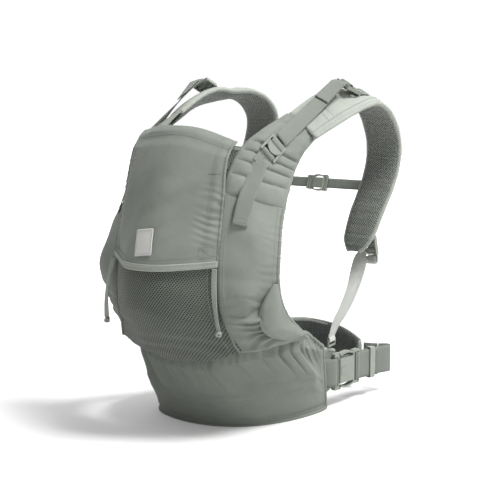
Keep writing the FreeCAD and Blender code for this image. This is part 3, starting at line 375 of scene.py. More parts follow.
class Finish:
    """A procedural material; small helpers add nodes and join them up."""

    def __init__(self, name, colour, roughness, sheen=0.0):
        self.material = bpy.data.materials.new(name)
        self.material.use_nodes = True
        self.tree = self.material.node_tree
        self.shader = fill(self.tree.nodes["Principled BSDF"], Roughness=roughness, Sheen_Weight=sheen,
                           Sheen_Roughness=0.45, Specular_IOR_Level=0.25 if sheen else 0.45)
        self.colour = colour
        coordinates = self.node("ShaderNodeTexCoord")
        self.place, self.cloth = coordinates.outputs["Object"], coordinates.outputs["UV"]

    def node(self, kind, **settings):
        made = self.tree.nodes.new(kind)
        for key, value in settings.items():
            setattr(made, key, value)
        return made

    def link(self, source, target):
        if isinstance(source, (int, float, tuple)):
            target.default_value = source
        else:
            self.tree.links.new(source, target)

    def compute(self, kind, operation, values, output):
        made = self.node(kind, operation=operation)
        for value, socket in zip(values, made.inputs):
            self.link(value, socket)
        return made.outputs[output]

    def math(self, operation, *values):
        return self.compute("ShaderNodeMath", operation, values, 0)

    def vector(self, operation, *values):
        output = "Value" if operation in ("LENGTH", "DOT_PRODUCT") else "Vector"
        return self.compute("ShaderNodeVectorMath", operation, values, output)

    def noise(self, scale, detail):
        made = fill(self.node("ShaderNodeTexNoise"), Scale=scale, Detail=detail, Roughness=0.55)
        self.link(self.place, made.inputs["Vector"])
        return made.outputs["Fac"]

    def stripes(self, direction, period):
        """A wave from 0 to 1 across the cloth's own metres."""
        along = self.vector("DOT_PRODUCT", self.cloth, direction)
        wave = self.math("SINE", self.math("MULTIPLY", along, 2 * math.pi / period))
        return self.math("MULTIPLY_ADD", wave, 0.5, 0.5)

    def dots(self, pitch_u, pitch_v, offset):
        """Distance in metres to the nearest point of a rectangular lattice laid on the cloth."""
        scaled = self.vector("MULTIPLY", self.cloth, (1 / pitch_u, 1 / pitch_v, 0))
        cell = self.vector("FRACTION", self.vector("ADD", scaled, (offset + 100, offset + 100, 0)))
        centred = self.vector("MULTIPLY", self.vector("SUBTRACT", cell, (0.5, 0.5, 0)), (pitch_u, pitch_v, 0))
        return self.vector("LENGTH", centred)

    def holes(self, pitch, radius, stretch):
        """1 in round holes set in staggered rows, 0 on the threads between."""
        nearest = self.math("MINIMUM", *[self.dots(pitch, pitch * stretch, offset) for offset in (0.0, 0.5)])
        return self.ramp(nearest, radius, radius * 0.55)

    def ramp(self, value, *ranges):
        made = fade(self.tree.nodes, *ranges)
        self.link(value, made.inputs["Value"])
        return made.outputs["Result"]

    def paint(self, *layers):
        """Base colour, then (mask, gain) layers that darken or lighten it."""
        current = None
        for mask, gain in layers:
            mix = self.node("ShaderNodeMix", data_type="RGBA", blend_type="MIX")
            if current is None:
                mix.inputs["A"].default_value = (*self.colour, 1.0)
                mix.inputs["B"].default_value = (*[min(1.0, c * gain) for c in self.colour], 1.0)
            else:
                scale = fill(self.node("ShaderNodeVectorMath", operation="SCALE"), Scale=gain)
                self.link(current, scale.inputs[0])
                self.link(current, mix.inputs["A"])
                self.link(scale.outputs["Vector"], mix.inputs["B"])
            self.link(mask, mix.inputs["Factor"])
            current = mix.outputs["Result"]
        self.link(current, self.shader.inputs["Base Color"])

    def relief(self, *layers, rounded=0.0):
        """Bumps, each a height from 0 to 1 and its depth in metres; hands back the finished material."""
        normal = None
        if rounded:
            normal = fill(self.node("ShaderNodeBevel", samples=6), Radius=rounded).outputs["Normal"]
        for height, depth in layers:
            bump = fill(self.node("ShaderNodeBump"), Strength=1.0, Distance=depth)
            self.link(height, bump.inputs["Height"])
            if normal is not None:
                self.link(normal, bump.inputs["Normal"])
            normal = bump.outputs["Normal"]
        self.link(normal, self.shader.inputs["Normal"])
        return self.material


def twill_finish(name, colour, pitch=0.0015):
    finish = Finish(name, colour, 0.88, 0.1)
    weave = finish.stripes((0.78, 0.63, 0), pitch)
    fibre, soft, worn = finish.noise(900, 2), finish.noise(9, 4), finish.noise(55, 5)
    finish.paint((soft, 1.16), (finish.ramp(worn, 0.35, 0.75), 0.93), (weave, 0.94), (fibre, 1.05))
    return finish.relief((weave, 0.00012), (fibre, 0.00018), (worn, 0.0006))


def mesh_finish(name, colour, pitch, radius, hole_gain, stretch, chevron=0.0):
    finish = Finish(name, colour, 0.8, 0.12)
    holes = finish.holes(pitch, radius, stretch)
    fibre, soft = finish.noise(1200, 2), finish.noise(12, 3)
    layers = [(soft, 1.12), (holes, hole_gain), (fibre, 1.08)]
    if chevron:
        layers.append((finish.stripes((0.0, 1.0, 0), chevron), 0.86))
    finish.paint(*layers)
    return finish.relief((finish.math("SUBTRACT", 1.0, holes), 0.0009), (fibre, 0.00015))


def webbing_finish(name, colour, pitch=0.0016):
    finish = Finish(name, colour, 0.72, 0.15)
    ribs, picks = finish.stripes((1, 0, 0), pitch), finish.stripes((0.35, 1, 0), 0.0013)
    finish.paint((finish.noise(30, 4), 1.14), (ribs, 0.86), (picks, 0.93))
    return finish.relief((ribs, 0.00028), (picks, 0.00016))


def plastic_finish(name, colour):
    finish = Finish(name, colour, 0.46)
    grain, soft = finish.noise(1500, 2), finish.noise(40, 3)
    finish.paint((soft, 1.1), (grain, 0.95))
    finish.link(finish.ramp(soft, 0.3, 0.75, 0.4, 0.56), finish.shader.inputs["Roughness"])
    return finish.relief((grain, 0.00005), rounded=0.0007)


def label_finish(name, colour):
    finish = Finish(name, colour, 0.55, 0.1)
    weave, soft = finish.stripes((0, 1, 0), 0.0009), finish.noise(60, 4)
    finish.paint((soft, 1.08), (weave, 0.95))
    return finish.relief((weave, 0.0001), (soft, 0.0005))


TWILL = twill_finish("twill", (0.16, 0.174, 0.154))
# A darker copy of the twill: painted shade for the skirt and its seams, which face down under the seat.
TWILL_SHADED = twill_finish("twill_shaded", (0.138, 0.152, 0.132))
# A paler copy of the twill, for the hem, the bindings and the strap covers; on the strap covers the extra
# lightness is painted light, as their tops face the light from above.
TWILL_PALE_AND_LIT = twill_finish("twill_pale_and_lit", (0.25, 0.266, 0.238))
BINDING = twill_finish("binding", (0.155, 0.17, 0.148), 0.0011)
MESH = mesh_finish("panel_mesh", (0.112, 0.124, 0.106), 0.0046, 0.0017, 0.1, 1.33)
STRAP_MESH = mesh_finish("strap_mesh", (0.205, 0.22, 0.197), 0.0046, 0.0015, 0.22, 0.9, 0.0083)
DARK_MESH = mesh_finish("belt_mesh", (0.105, 0.116, 0.107), 0.0048, 0.0017, 0.16, 1.2)
WEBBING = webbing_finish("webbing", (0.165, 0.18, 0.158))
# A lighter webbing for the lower straps: partly their own lighter colour, partly painted light, as they face
# the light.
WEBBING_PALE_AND_LIT = webbing_finish("webbing_pale_and_lit", (0.43, 0.445, 0.415))
TAPE = webbing_finish("tape", (0.265, 0.285, 0.255), 0.0018)
THREAD = twill_finish("thread", (0.2, 0.217, 0.19), 0.0008)
PLASTIC = plastic_finish("plastic", (0.185, 0.202, 0.172))
LABEL = label_finish("label_satin", (0.45, 0.45, 0.435))


# ---- front panel

PANEL_ROWS = [
    (104, -208, 408, -246, 418), (101, -236, 375, -279, 380), (101, -251, 340, -302, 333),
    (104, -261, 300, -319, 287), (107, -273, 240, -338, 232), (109, -278, 195, -351, 185),
    (113, -275, 150, -341, 135), (119, -260, 116, -306, 90), (126, -243, 88, -252, 60),
]
FLAP_ROWS = [
    (96, -222, 426, -250, 441), (98, -242, 406, -266, 424), (100, -252, 377, -288, 379),
    (103, -259, 340, -309, 333), (105, -268, 300, -327, 285), (106.5, -276, 261, -340, 252),
    (107.5, -280, 233, -348, 226),
]
FLAP_DROOP = [7, 4, 1, 0, 0, 0, 0]
WING_SEAM = [(102, -253, 338), (105, -262, 300), (107, -270, 268), (109, -276, 232), (111, -279, 195),
             (114, -275, 152), (120, -260, 118), (127, -242, 90)]
WING_EDGE = [(160, -176, 310), (166, -193, 284), (172, -204, 256), (176, -213, 220), (177, -214, 190),
             (171, -194, 153), (166, -155, 119), (161, -108, 95)]
WING_BULGE = {1: [4, 8, 11, 13, 14, 14, 15, 16], -1: [5, 12, 18, 24, 27, 24, 20, 16]}
YOKE_INNER = [(102, -252, 342), (103, -237, 374), (106, -206, 409), (112, -166, 432), (116.5, -116, 453)]
YOKE_OUTER = [(159, -174, 314), (151, -149, 343), (145, -128, 368), (153, -114, 397), (161.5, -100, 419)]
YOKE_BULGE = [5, 6, 6, 5, 3]
LEG_OUTER = [(177, -217, 196), (175, -209, 173), (172, -193, 150), (169, -174, 132), (166, -147, 116),
             (163, -116, 99)]
LEG_INNER = [(174, -224, 197), (164, -241, 170), (158, -241, 146), (156, -232, 122), (159, -206, 104),
             (162, -168, 95)]
LEG_BULGE = [2, 4, 5, 5, 4, 2]
YOKE_CHANNEL = 0.155
HEAD_ROLL = [(-70, -229.5, 419), (-35, -242.5, 424.8), (0, -249, 427.8), (35, -243.5, 424), (70, -231, 417.6)]
OUTWARDS = np.array([0.62, -0.78, 0]) / math.hypot(0.62, 0.78)


def bowed_rows(rows, droops):
    """Five control points a row, bowed out from its two edges; a droop lowers its right end."""
    made = []
    for (edge_x, edge_y, edge_z, mid_y, mid_z), droop in zip(rows, droops):
        deep, rise = edge_y - mid_y, edge_z - mid_z
        made.append([(edge_x * f, mid_y + deep * f * f, mid_z + rise * f * f - droop * f)
                     for f in (-1, -0.5, 0, 0.5, 1)])
    return made


def blend_rows(starts, ends, bulge):
    """Four control points a row, from its start to its end, bulging outwards between them."""
    made = []
    for start, end, rise in zip(starts, ends, bulge):
        start, end = np.array(start, dtype=float), np.array(end, dtype=float)
        made.append([start * (1 - f) + end * f + OUTWARDS * (rise * 4 * f * (1 - f))
                     for f in (0, 1 / 3, 2 / 3, 1)])
    return made


def edge_line(cloth, which, samples, inset=0.0, lift=0.0):
    """A line near one edge of a cloth's visible face, with the normals along it."""
    run = np.linspace(0, 1, samples)
    fixed = np.full(samples, inset)
    choices = {"top": (fixed, run), "bottom": (1 - fixed, run), "left": (run, fixed),
               "right": (run, 1 - fixed)}
    return cloth.sample(*choices[which], lift)


def seams(cloth, *rows):
    """Lines for stitching near a cloth's edges, each given as its edge, samples, inset and lift."""
    return [edge_line(cloth, which, samples, inset, *(lift or [THREAD_LIFT]))
            for which, samples, inset, *lift in rows]


def seams_across(cloth, places, samples, first, last, lift=THREAD_LIFT):
    """Lines that run across a cloth, at given places along it."""
    run = np.linspace(first, last, samples)
    return [cloth.sample(np.full(samples, place), run, lift) for place in places]


def sewn_box(cloth, top, bottom, left, right, samples, lift, diagonal=True):
    """A rectangle of stitching on a cloth, with a diagonal as where webbing is sewn down."""
    corners = [(top, left), (top, right), (bottom, right), (bottom, left), (top, left)]
    corners += [(bottom, right)] * diagonal
    steps = np.linspace(0, len(corners) - 1, samples)
    return cloth.sample(*[np.interp(steps, range(len(corners)), values) for values in zip(*corners)], lift)


def bind(name, cloth, which, samples, radius, body=ROOT, material=BINDING, side=1, inset=0.0, lift=0.0,
         flat=0.8):
    """A bound edge: a flattened tube along one edge of a cloth."""
    line, normal = edge_line(cloth, which, samples, inset, lift)
    tube(name, line, radius, body, material, side, flat=flat, up=normal)


def make_panel():
    grid, down, across = lay(bowed_rows(PANEL_ROWS, [0] * len(PANEL_ROWS)), 130, 110)
    grid = moved(grid, near(down, 1, 0.1), 0, -0.0035, -0.0035)
    u, v = lengths(grid)
    low = near(down, 0.93, 0.3)
    relief = 0.0016 * noise(u, v * 3, 0.055, 3) + low * 0.003 * noise(u * 0.45, v * 2.4, 0.034, 4)
    relief -= 0.0022 * (near(across, 0, 0.1) + near(across, 1, 0.1))
    cloth = Cloth(grid, relief, relief - 0.0028)
    cloth.make("mesh_panel_cloth", ROOT, "mesh", MESH, ["mesh_panel"])
    for which in ("right", "left"):
        bind(f"panel_piping_{which}", cloth, which, 120, wobbly(0.0021, 0.0003, 120, 0.004, 0.012, 8),
             inset=0.006, lift=0.0008, flat=0.6)
    rows = seams(cloth, ("left", 160, 0.045, 0.0004), ("right", 160, 0.045, 0.0004))
    stitches("panel_seam_stitches", rows, radius=0.0005)
    bind("panel_top_binding", cloth, "top", 90, 0.0032, inset=0.01, flat=0.55)


def make_wing(side):
    word, seed = WORDS[side], 20 if side > 0 else 30
    rows = blend_rows(np.array(WING_SEAM) + (1.0, 0, 0), WING_EDGE, WING_BULGE[side])
    grid, down, across = lay(rows, 170, 80)
    grid = moved(grid, near(across, 0, 0.1), -0.005, -0.0022, 0)
    grid = moved(grid, near(down, 1, 0.08), 0, 0.001, -0.0055)
    u, v = lengths(grid)
    puckers = np.sin(2 * np.pi * (v / 0.013 + 0.5 * noise(u, v, 0.03, seed)))
    edge = near(across, 1, 0.42) * (0.55 + 0.45 * noise(u * 0.3, v, 0.02, seed + 1))
    relief = 0.0017 * puckers * edge * near(down, 0.45, 0.62)
    relief += 0.0066 * noise(u * 0.3, v + u * 0.22, 0.0125, seed + 2) * near(down, 0.9, 0.36)
    relief += 0.0034 * noise(u, v * 1.6, 0.06, seed + 3)
    soft = noise(u * 0.5 + v * 0.5, v * 0.9, 0.034, seed + 4) * near(down, 0.66, 0.5)
    relief += (0.0088 if side > 0 else 0.003) * soft
    ridges = np.sin(2 * np.pi * ((v + u * 0.3) / 0.0165 + 0.8 * noise(u * 0.6, v, 0.03, seed + 6)))
    ridges = (1 - (1 - np.abs(ridges)) ** 2) * np.sign(ridges)
    relief += 0.0046 * ridges * near(down, 0.84, 0.24) * near(across, 0.34, 0.6)
    relief *= 0.12 + 0.88 * near(across, 0.5, 0.62)
    relief += 0.0012 * near(across, 0.03, 0.05)
    cloth = Cloth(grid, relief, relief - 0.0018)
    cloth.make(f"wing_cloth_{word}", ROOT, "twill", TWILL, [f"wing_{word}"], side)
    ruched = gathered(0.003, 0.0007, 34, 220) + wobbly(0, 0.0004, 220, 0.002, 0.007, seed + 5)
    bind(f"leg_binding_{word}", cloth, "right", 220, ruched, ROOT, TWILL, side, 0.004, -0.001)
    rows = seams(cloth, ("right", 200, 0.075), ("left", 200, 0.03, 0.0004), ("left", 200, 0.055, 0.0004))
    stitches(f"wing_stitches_{word}", rows, side=side)


def make_leg_pad(side):
    word = WORDS[side]
    rows = np.array(blend_rows(LEG_INNER, LEG_OUTER, LEG_BULGE)) + OUTWARDS * 1.2
    grid, down, across = lay(rows, 90, 44)
    u, v = lengths(grid)
    crown = (1 - np.abs(2 * across - 1) ** 3.2) * (1 - np.abs(2 * down - 1) ** 8)
    relief = 0.0008 + 0.0026 * crown + 0.0009 * noise(u, v, 0.02, 41 if side > 0 else 42)
    sunk = near(across, 0, 0.16) + near(down, 0, 0.3) + 0.6 * near(down, 1, 0.12)
    cloth = Cloth(moved(grid, -0.0036 * np.minimum(sunk, 1.2), *OUTWARDS), relief, 0.0)
    piece = cloth.make(f"leg_pad_cloth_{word}", ROOT, "twill", TWILL, [f"leg_pad_{word}"], side)
    stitches(f"leg_pad_stitches_{word}", seams(cloth, ("left", 120, 0.1, 0.0004)), side=side)


def make_yoke(side):
    word, seed = WORDS[side], 51 if side > 0 else 52
    rows = blend_rows(np.array(YOKE_INNER) + (2.0, 0, 0), YOKE_OUTER, YOKE_BULGE)
    grid, down, across = lay(rows, 190, 90)
    grid = moved(grid, near(across, 0, 0.1), -0.005, -0.0022, 0)
    grid = moved(grid, near(down, 0, 0.07), 0, -0.0002, -0.0052)
    grid = moved(grid, near(down, 1, 0.14), 0.001, 0.0125, 0.0045)
    u, v = lengths(grid)
    channel = (down / YOKE_CHANNEL) % 1
    plain = 1 - (1 - near(down, 0.7, 0.08)) * 0.2
    quilt = np.where(down < 0.62, (1 - np.abs(2 * channel - 1) ** 2.4) ** 0.7, plain)
    quilt = np.where((down >= 0.62) & (down < 0.66), (down - 0.62) / 0.04 * 0.8, quilt)
    fullness = 1 - np.abs(2 * across - 1) ** 9
    puff = 0.0008 + 0.0052 * fullness * quilt * (1 - 0.35 * near(down, 1, 0.5))
    puff += 0.0009 * noise(u, v * 1.4, 0.016, seed + 2) * fullness
    puff -= 0.001 * near(down, 1, 0.12)
    cloth = Cloth(grid, puff, -0.0075 + 0.005 * near(down, 0, 0.08) + 0.004 * near(down, 1, 0.14), up=-1)
    piece = cloth.make(f"yoke_cloth_{word}", ROOT, "twill", TWILL, [f"yoke_{word}"], side)
    channels = [YOKE_CHANNEL * k + 0.004 for k in range(5)]
    rows = seams(cloth, ("left", 160, 0.035), ("right", 160, 0.05))
    stitches(f"yoke_stitches_{word}", rows + seams_across(cloth, channels, 70, 0.04, 0.95, 0.0004), side=side)
    bind(f"yoke_binding_{word}", cloth, "right", 130, 0.0034, side=side, lift=-0.003, flat=1.2)


def make_flap():
    grid, down, across = lay(bowed_rows(FLAP_ROWS, FLAP_DROOP), 190, 200)
    u, v = lengths(grid)
    fold = 0.006 * noise(u * 0.55 + v * 0.32, v * 0.22 - u * 0.18, 0.034, 61)
    low_right = near(down, 0.8, 0.5) * near(across, 0.8, 0.75)
    fold += 0.007 * noise(v * 0.8 + u * 0.6, u * 0.2, 0.026, 62) * low_right
    gather = np.sin(2 * np.pi * (v / 0.0115 + 0.45 * noise(u * 0.8, v, 0.03, 63)))
    right = near(across, 0.955, 0.1) * near(down, 0.68, 0.34)
    left = near(across, 0.03, 0.1) * near(down, 0.55, 0.5)
    fold += 0.0017 * gather * (right + 0.9 * left) * (0.55 + 0.45 * noise(u, v, 0.02, 64))
    fold += 0.0022 * near(down, 0.015, 0.05)
    fold -= 0.0035 * near(down, 0.1, 0.07) * (1 - near(across, 0.5, 1.4) * 0.5)
    fold += 0.0012 * (near(across, 0.965, 0.03) + near(across, 0.035, 0.03))
    fold *= 0.35 + 0.65 * near(down, 0.5, 0.9)
    corner = near(down, 0, 0.12) * (0.7 * near(across, 0, 0.13) + 0.15 * near(across, 1, 0.08))
    grid = moved(grid, near(across, 0, 0.1) * near(down, 0.55, 0.6), -0.0045, 0.015, 0)
    grid = moved(grid, near(down, 0, 0.055), 0, 0.005, -0.0005)
    grid = moved(grid, corner, 0, 0.003, -0.005)
    cloth = Cloth(grid, fold, fold - 0.0015)
    piece = cloth.make("flap_cloth", FLAP, "twill", TWILL, ["flap"])
    rows = seams(cloth, ("right", 200, 0.055), ("left", 200, 0.055), ("bottom", 200, 0.035),
                 ("top", 160, 0.075))
    for end in (0.955, 0.045):
        rows.append(sewn_box(cloth, 0.9, 0.975, end - 0.03, end + 0.03, 120, 0.0004))
    stitches("flap_stitches", rows, FLAP)
    hem_piece, hem_stitches = make_hem(cloth)
    for which in ("right", "left"):
        bind(f"flap_side_binding_{which}", cloth, which, 150, gathered(0.0021, 0.0006, 26, 150), FLAP,
             lift=-0.0006, flat=0.7)
    radius = wobbly(0.0048, 0.0005, 80, 0.0025, 0.02, 67)
    roll_piece = tube("head_roll_cloth", curve(HEAD_ROLL, 80), radius, FLAP, TWILL, segments=20,
                      replaces=["head_roll"])
    slit, normal = seams_across(cloth, [0.345], 30, 0.925, 0.985, 0.0002)[0]
    tube("flap_slit", slit, 0.001, FLAP, BINDING, flat=0.6, up=normal)


def make_hem(flap):
    """The paler band that hangs below the flap's lower edge."""
    line, normal = edge_line(flap, "bottom", 150)
    rows = [line + normal * 0.0008, line + (0, -0.0004, -0.004), line + (0, -0.001, -0.0088)]
    grid = np.concatenate([np.linspace(rows[k], rows[k + 1], 8)[:-1] for k in (0, 1)] + [rows[2][None]])
    u, v = lengths(grid)
    hem = Cloth(grid, 0.001 + 0.0005 * noise(u, v, 0.02, 66), -0.0014)
    piece = hem.make("flap_binding", FLAP, "binding", TWILL_PALE_AND_LIT, ["flap_hem"])
    return piece, stitches("hem_stitches", seams(hem, ("top", 160, 0.2), ("bottom", 160, 0.2)), FLAP)


def make_label():
    """A blank woven patch in the plane of its CAD solid, turned a little as in the photo."""
    centre = np.mean(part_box("flap_label"), axis=0)
    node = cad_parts["flap_label"]
    points = np.array([node.matrix_world @ v.co for v in node.data.vertices])
    tangent = points[np.argmax(points[:, 2])] - points[np.argmin(points[:, 2])]
    up = unit(np.array([0, tangent[1], tangent[2]]))
    down, across = np.meshgrid(np.linspace(0, 1, 40), np.linspace(0, 1, 32), indexing="ij")
    width, height, lean = 0.0336, 0.0426, math.radians(8)
    round_off = 1 - 0.05 * near(down, 0, 0.06) - 0.05 * near(down, 1, 0.06)
    beside = np.array([math.cos(lean), 0, 0]) + up * math.sin(lean)
    above = up * math.cos(lean) - np.array([math.sin(lean), 0, 0])
    grid = centre + (0.003, 0, 0) + ((across - 0.5) * width * round_off)[..., None] * beside \
        + ((0.5 - down) * height)[..., None] * above
    bow = -0.0011 * (2 * across - 1) ** 2 + 0.0004 * noise(across * 0.03, down * 0.04, 0.015, 71)
    cloth = Cloth(grid, 0.0005 + bow, bow - 0.0004)
    cloth.make("label_cloth", FLAP, "label", LABEL, ["flap_label"])
    rows = [sewn_box(cloth, 0.07, 0.93, 0.07, 0.93, 120, 0.0002, diagonal=False)]
    stitches("label_stitches", rows, FLAP, step=0.0026, stitch=0.0017, radius=0.0003)


# ---- shoulder straps

STRAP_START = [(141, -99, 437, 36, 29), (148, -52, 459, 33, 32), (152, -12, 473, 30, 33),
               (154, 22, 480.5, 25, 33)]
STRAP_ARCH = {
    1: [(154.5, 55, 482, 14, 33), (154, 84, 471, 9, 32), (152.5, 111, 452, 5, 32), (151, 132.5, 425, 2, 31.5),
        (149.5, 146, 390, 0, 31)],
    -1: [(152, 56, 480.5, 13, 33), (140, 96, 486.5, 7, 33), (128, 131, 472, 3, 33), (122, 152, 440, 1, 33),
         (130, 154, 398, 0, 32)],
}
STRAP_END = [(145, 144.5, 350, 0, 31), (138.5, 132.5, 312, 0, 31), (131.5, 116, 276, 0, 30),
             (126.5, 105, 243, 0, 28), (122.5, 98, 222, 0, 23), (120, 95, 209, 0, 10)]


def strap_rows(side):
    rows = []
    for x, y, z, tilt, half in STRAP_START + STRAP_ARCH[side] + STRAP_END:
        angle = math.radians(tilt)
        beside = np.array([math.cos(angle), 0, -math.sin(angle)])
        rows.append([np.array([x, y, z]) + beside * (half * f) for f in (-1, -0.4, 0.4, 1)])
    return rows


def make_strap(side):
    word, seed = WORDS[side], 80 if side > 0 else 90
    grid, down, across = lay(strap_rows(side), 260, 64)
    u, v = lengths(grid)
    pillow = (1 - np.abs(2 * across - 1) ** 4.5) ** 0.55
    pillow *= (1 - 0.35 * near(down, 0, 0.04)) * (1 - near(down, 1, 0.035)) ** 0.5
    soft = noise(u, v * 0.6, 0.05, seed) + 0.5 * noise(u * 0.4, v * 1.5, 0.022, seed + 1)
    wrinkle = noise(u * 0.25, v, 0.01, seed + 2) * (0.25 + near(down, 0.42, 0.22))
    outer = 0.0026 + (0.0062 + 0.0007 * soft + 0.0009 * wrinkle) * pillow
    outer -= 0.0011 * (near(across, 0.1, 0.03) + near(across, 0.9, 0.03))
    cover = Cloth(grid, outer, 0.0001, up=-1)
    # The cover takes the paler twill copy: painted light on the strap's upward face.
    piece = cover.make(f"strap_cover_cloth_{word}", ROOT, "twill", TWILL_PALE_AND_LIT,
                       [f"strap_cover_{word}", f"strap_foam_{word}"], side)
    quilt = np.sqrt(np.abs(np.sin(np.pi * down * 22)))
    inner = 0.0026 + (0.0054 + 0.0009 * quilt + 0.0005 * soft) * pillow
    lining = Cloth(grid, inner, -0.0001)
    lining.make(f"strap_lining_cloth_{word}", ROOT, "mesh", STRAP_MESH, [f"strap_lining_{word}"], side)
    for which in ("left", "right"):
        line, normal = edge_line(cover, which, 240)
        line = (line + edge_line(lining, which, 240)[0]) / 2
        tube(f"strap_binding_{which}_{word}", line, wobbly(0.0042, 0.0003, 240, 0.003, 0.02, seed + 4), ROOT,
             TWILL_PALE_AND_LIT, side, flat=1.1, up=normal)
    rows = seams(cover, ("left", 260, 0.1), ("right", 260, 0.1))
    rows += seams_across(cover, (0.035, 0.05, 0.955), 60, 0.06, 0.94)
    stitches(f"strap_stitches_{word}", rows, side=side)


# ---- waist belt

RING_HALF_WIDTH, RING_HALF_DEPTH, PAD_HALF_HEIGHT = 110, 187, 58
PAD_FAR_END = [(52, 184), (88, 176)]
PAD_END_HEIGHTS = {0: 0.55, 1: 0.86}
SWELL, SWELL_ANGLE, SWELL_REACH = 0.1, 138, 62
SKIRT_LOW = [
    (-112, 22, -59), (-121, 4, -61), (-127, -24, -61), (-133, -68, -61), (-138, -126, -61), (-111, -172, -61),
    (-54, -194, -61), (0, -197, -61), (46, -182, -61), (83, -150, -61), (104, -106, -61), (115, -62, -61),
    (118, -24, -61), (118, -4, -61), (116, 12, -59),
]
SKIRT_HIGH = [
    (-122.5, -2, 54), (-138, -56, 78), (-149, -108, 94), (-143, -158, 94), (-124, -206, 89), (-92, -240, 75),
    (-50, -249, 61), (0, -251, 56), (50, -251, 60), (98, -248, 72), (136, -218, 84), (156, -166, 88),
    (159, -112, 89), (144, -62, 74), (123.5, -10, 54),
]


def belt_rows():
    first, last, count = -21, 256, 15
    line = []
    for k in range(count):
        degrees = first + (last - first) / (count - 1) * k
        swell = 1 + SWELL * math.cos(math.pi / 2 * min(1, abs(degrees - SWELL_ANGLE) / SWELL_REACH)) ** 2
        angle = math.radians(degrees)
        line.append((RING_HALF_WIDTH * swell * math.cos(angle), -RING_HALF_DEPTH * swell * math.sin(angle)))
    line += PAD_FAR_END
    rows = []
    for k, (x, y) in enumerate(line):
        share = PAD_END_HEIGHTS.get(min(k, len(line) - 1 - k), 1)
        rows.append([(x, y, PAD_HALF_HEIGHT * share * f) for f in (-1, -0.4, 0.4, 1)])
    return rows


def make_belt():
    grid, down, across = lay(belt_rows(), 330, 60)
    u, v = lengths(grid)
    pillow = (1 - np.abs(2 * across - 1) ** 5) ** 0.7
    soft = noise(u, v, 0.06, 101) + 0.5 * noise(u * 0.6, v * 1.6, 0.024, 102)
    out = -0.0042 + 0.0046 * pillow * (1 - 0.5 * near(down, 0, 0.03)) + 0.0006 * soft * pillow
    pad = Cloth(grid, out, -0.0085, up=-1)
    piece = pad.make("belt_pad_cloth", ROOT, "foam", TWILL, ["belt_pad"])
    inward = 0.0092 + (0.005 + 0.0007 * noise(u, v, 0.03, 103)) * pillow
    lining = Cloth(grid, inward, 0.0084)
    lining.make("belt_lining_cloth", ROOT, "dark_mesh", DARK_MESH, ["belt_lining"])
    ring, facing = [np.concatenate([rim[:, 0], rim[-1, 1:], rim[::-1, -1][1:], rim[0, ::-1][1:]])
                    for rim in (pad.middle, pad.normal)]
    tube("belt_binding", ring - facing * 0.0074, wobbly(0.0046, 0.0003, len(ring), 0.003, 0.02, 104), ROOT,
         TWILL_PALE_AND_LIT, flat=1.1, up=facing, segments=12)
    stitches("belt_pad_stitches", seams(pad, ("left", 420, 0.085), ("right", 420, 0.085)))


def make_skirt():
    low, high = np.array(SKIRT_LOW, dtype=float), np.array(SKIRT_HIGH, dtype=float)
    rows = [[a * (1 - f) + b * f for f in (0, 0.33, 0.67, 1)] for a, b in zip(low, high)]
    grid, around, up = lay(rows, 340, 110)
    tucked = (near(up, 1, 0.1) * (1 - near(around, 0, 0.06)) * (1 - near(around, 1, 0.06)))[..., None]
    grid = grid + tucked * (normals(grid) * -0.0085 + (0, 0, 0.0105))
    u, v = lengths(grid)
    gather = np.sin(2 * np.pi * (v / 0.021 + 1.3 * noise(v, u * 0.3, 0.05, 111)))
    pleat = -((1 - np.abs(np.sin(np.pi * (v / 0.034 + 1.1 * noise(v, u * 0.5, 0.06, 116))))) ** 3)
    relief = 0.0022 * gather * near(up, 0.98, 0.5) * (0.5 + 0.5 * noise(v, u, 0.06, 112))
    relief += 0.0085 * pleat * near(up, 1.0, 0.55) * (0.6 + 0.6 * noise(v, 0, 0.05, 117))
    relief += 0.0075 * noise(v * 1.1, u * 0.34, 0.036, 113) * near(up, 0.74, 0.62)
    relief += 0.0035 * noise(v * 0.5 + u * 0.4, u * 0.9, 0.034, 114) * near(up, 0.5, 0.6)
    relief += 0.0016 * noise(v * 0.4, u * 1.5, 0.014, 115) * near(up, 0.42, 0.3)
    relief -= 0.0016 * near(up, 0.055, 0.03)
    relief *= 1 - 0.8 * near(around, 0, 0.05) - 0.8 * near(around, 1, 0.05)
    cloth = Cloth(grid, 0.0016 + relief, relief)
    # The skirt, its seat seam and its bottom binding take the darker twill copy: painted shade on cloth that
    # faces down.
    cloth.make("belt_skirt_cloth", ROOT, "twill", TWILL_SHADED, ["belt_skirt"])
    bind("seat_seam", cloth, "right", 420, gathered(0.0032, 0.0005, 70, 420), material=TWILL_SHADED)
    bind("belt_bottom_binding", cloth, "left", 420, 0.0034, material=TWILL_SHADED)
    bind("belt_end_binding_left", cloth, "top", 110, 0.003)
    bind("belt_end_binding_right", cloth, "bottom", 110, 0.003)
    rows = seams(cloth, ("left", 420, 0.055), ("left", 420, 0.075), ("right", 420, 0.045), ("top", 110, 0.02),
                 ("bottom", 110, 0.02))
    stitches("belt_skirt_stitches", rows)


# ---- webbing

def webbing(name, points, sides, width, thickness, body=ROOT, side=1, replaces=(), material=WEBBING,
            samples=60):
    """A strip along control points in millimetres, its width along the one side given or the side of each."""
    sides = np.array(sides, dtype=float)
    if sides.ndim == 1:
        sides = np.tile(sides, (len(points), 1))
    cloth = strip(curve(points, samples), basis(len(sides), samples) @ sides, width / 1000, thickness / 1000)
    cloth.make(name, body, "webbing", material, replaces, side, rim=0.25)
    return cloth


class Place:
    """A lock's or buckle's own axes: local points become points of the carrier, in millimetres."""

    def __init__(self, origin, nose=None, outward=None, axes=None):
        self.origin = np.array(origin, dtype=float)
        if axes is None:
            along = unit(np.array(nose))
            up = unit(outward - along * np.dot(outward, along))
            axes = (np.cross(along, up), along, up)
        self.axes = unit(np.array(axes))

    def point(self, local):
        return self.origin + np.array(local) @ self.axes


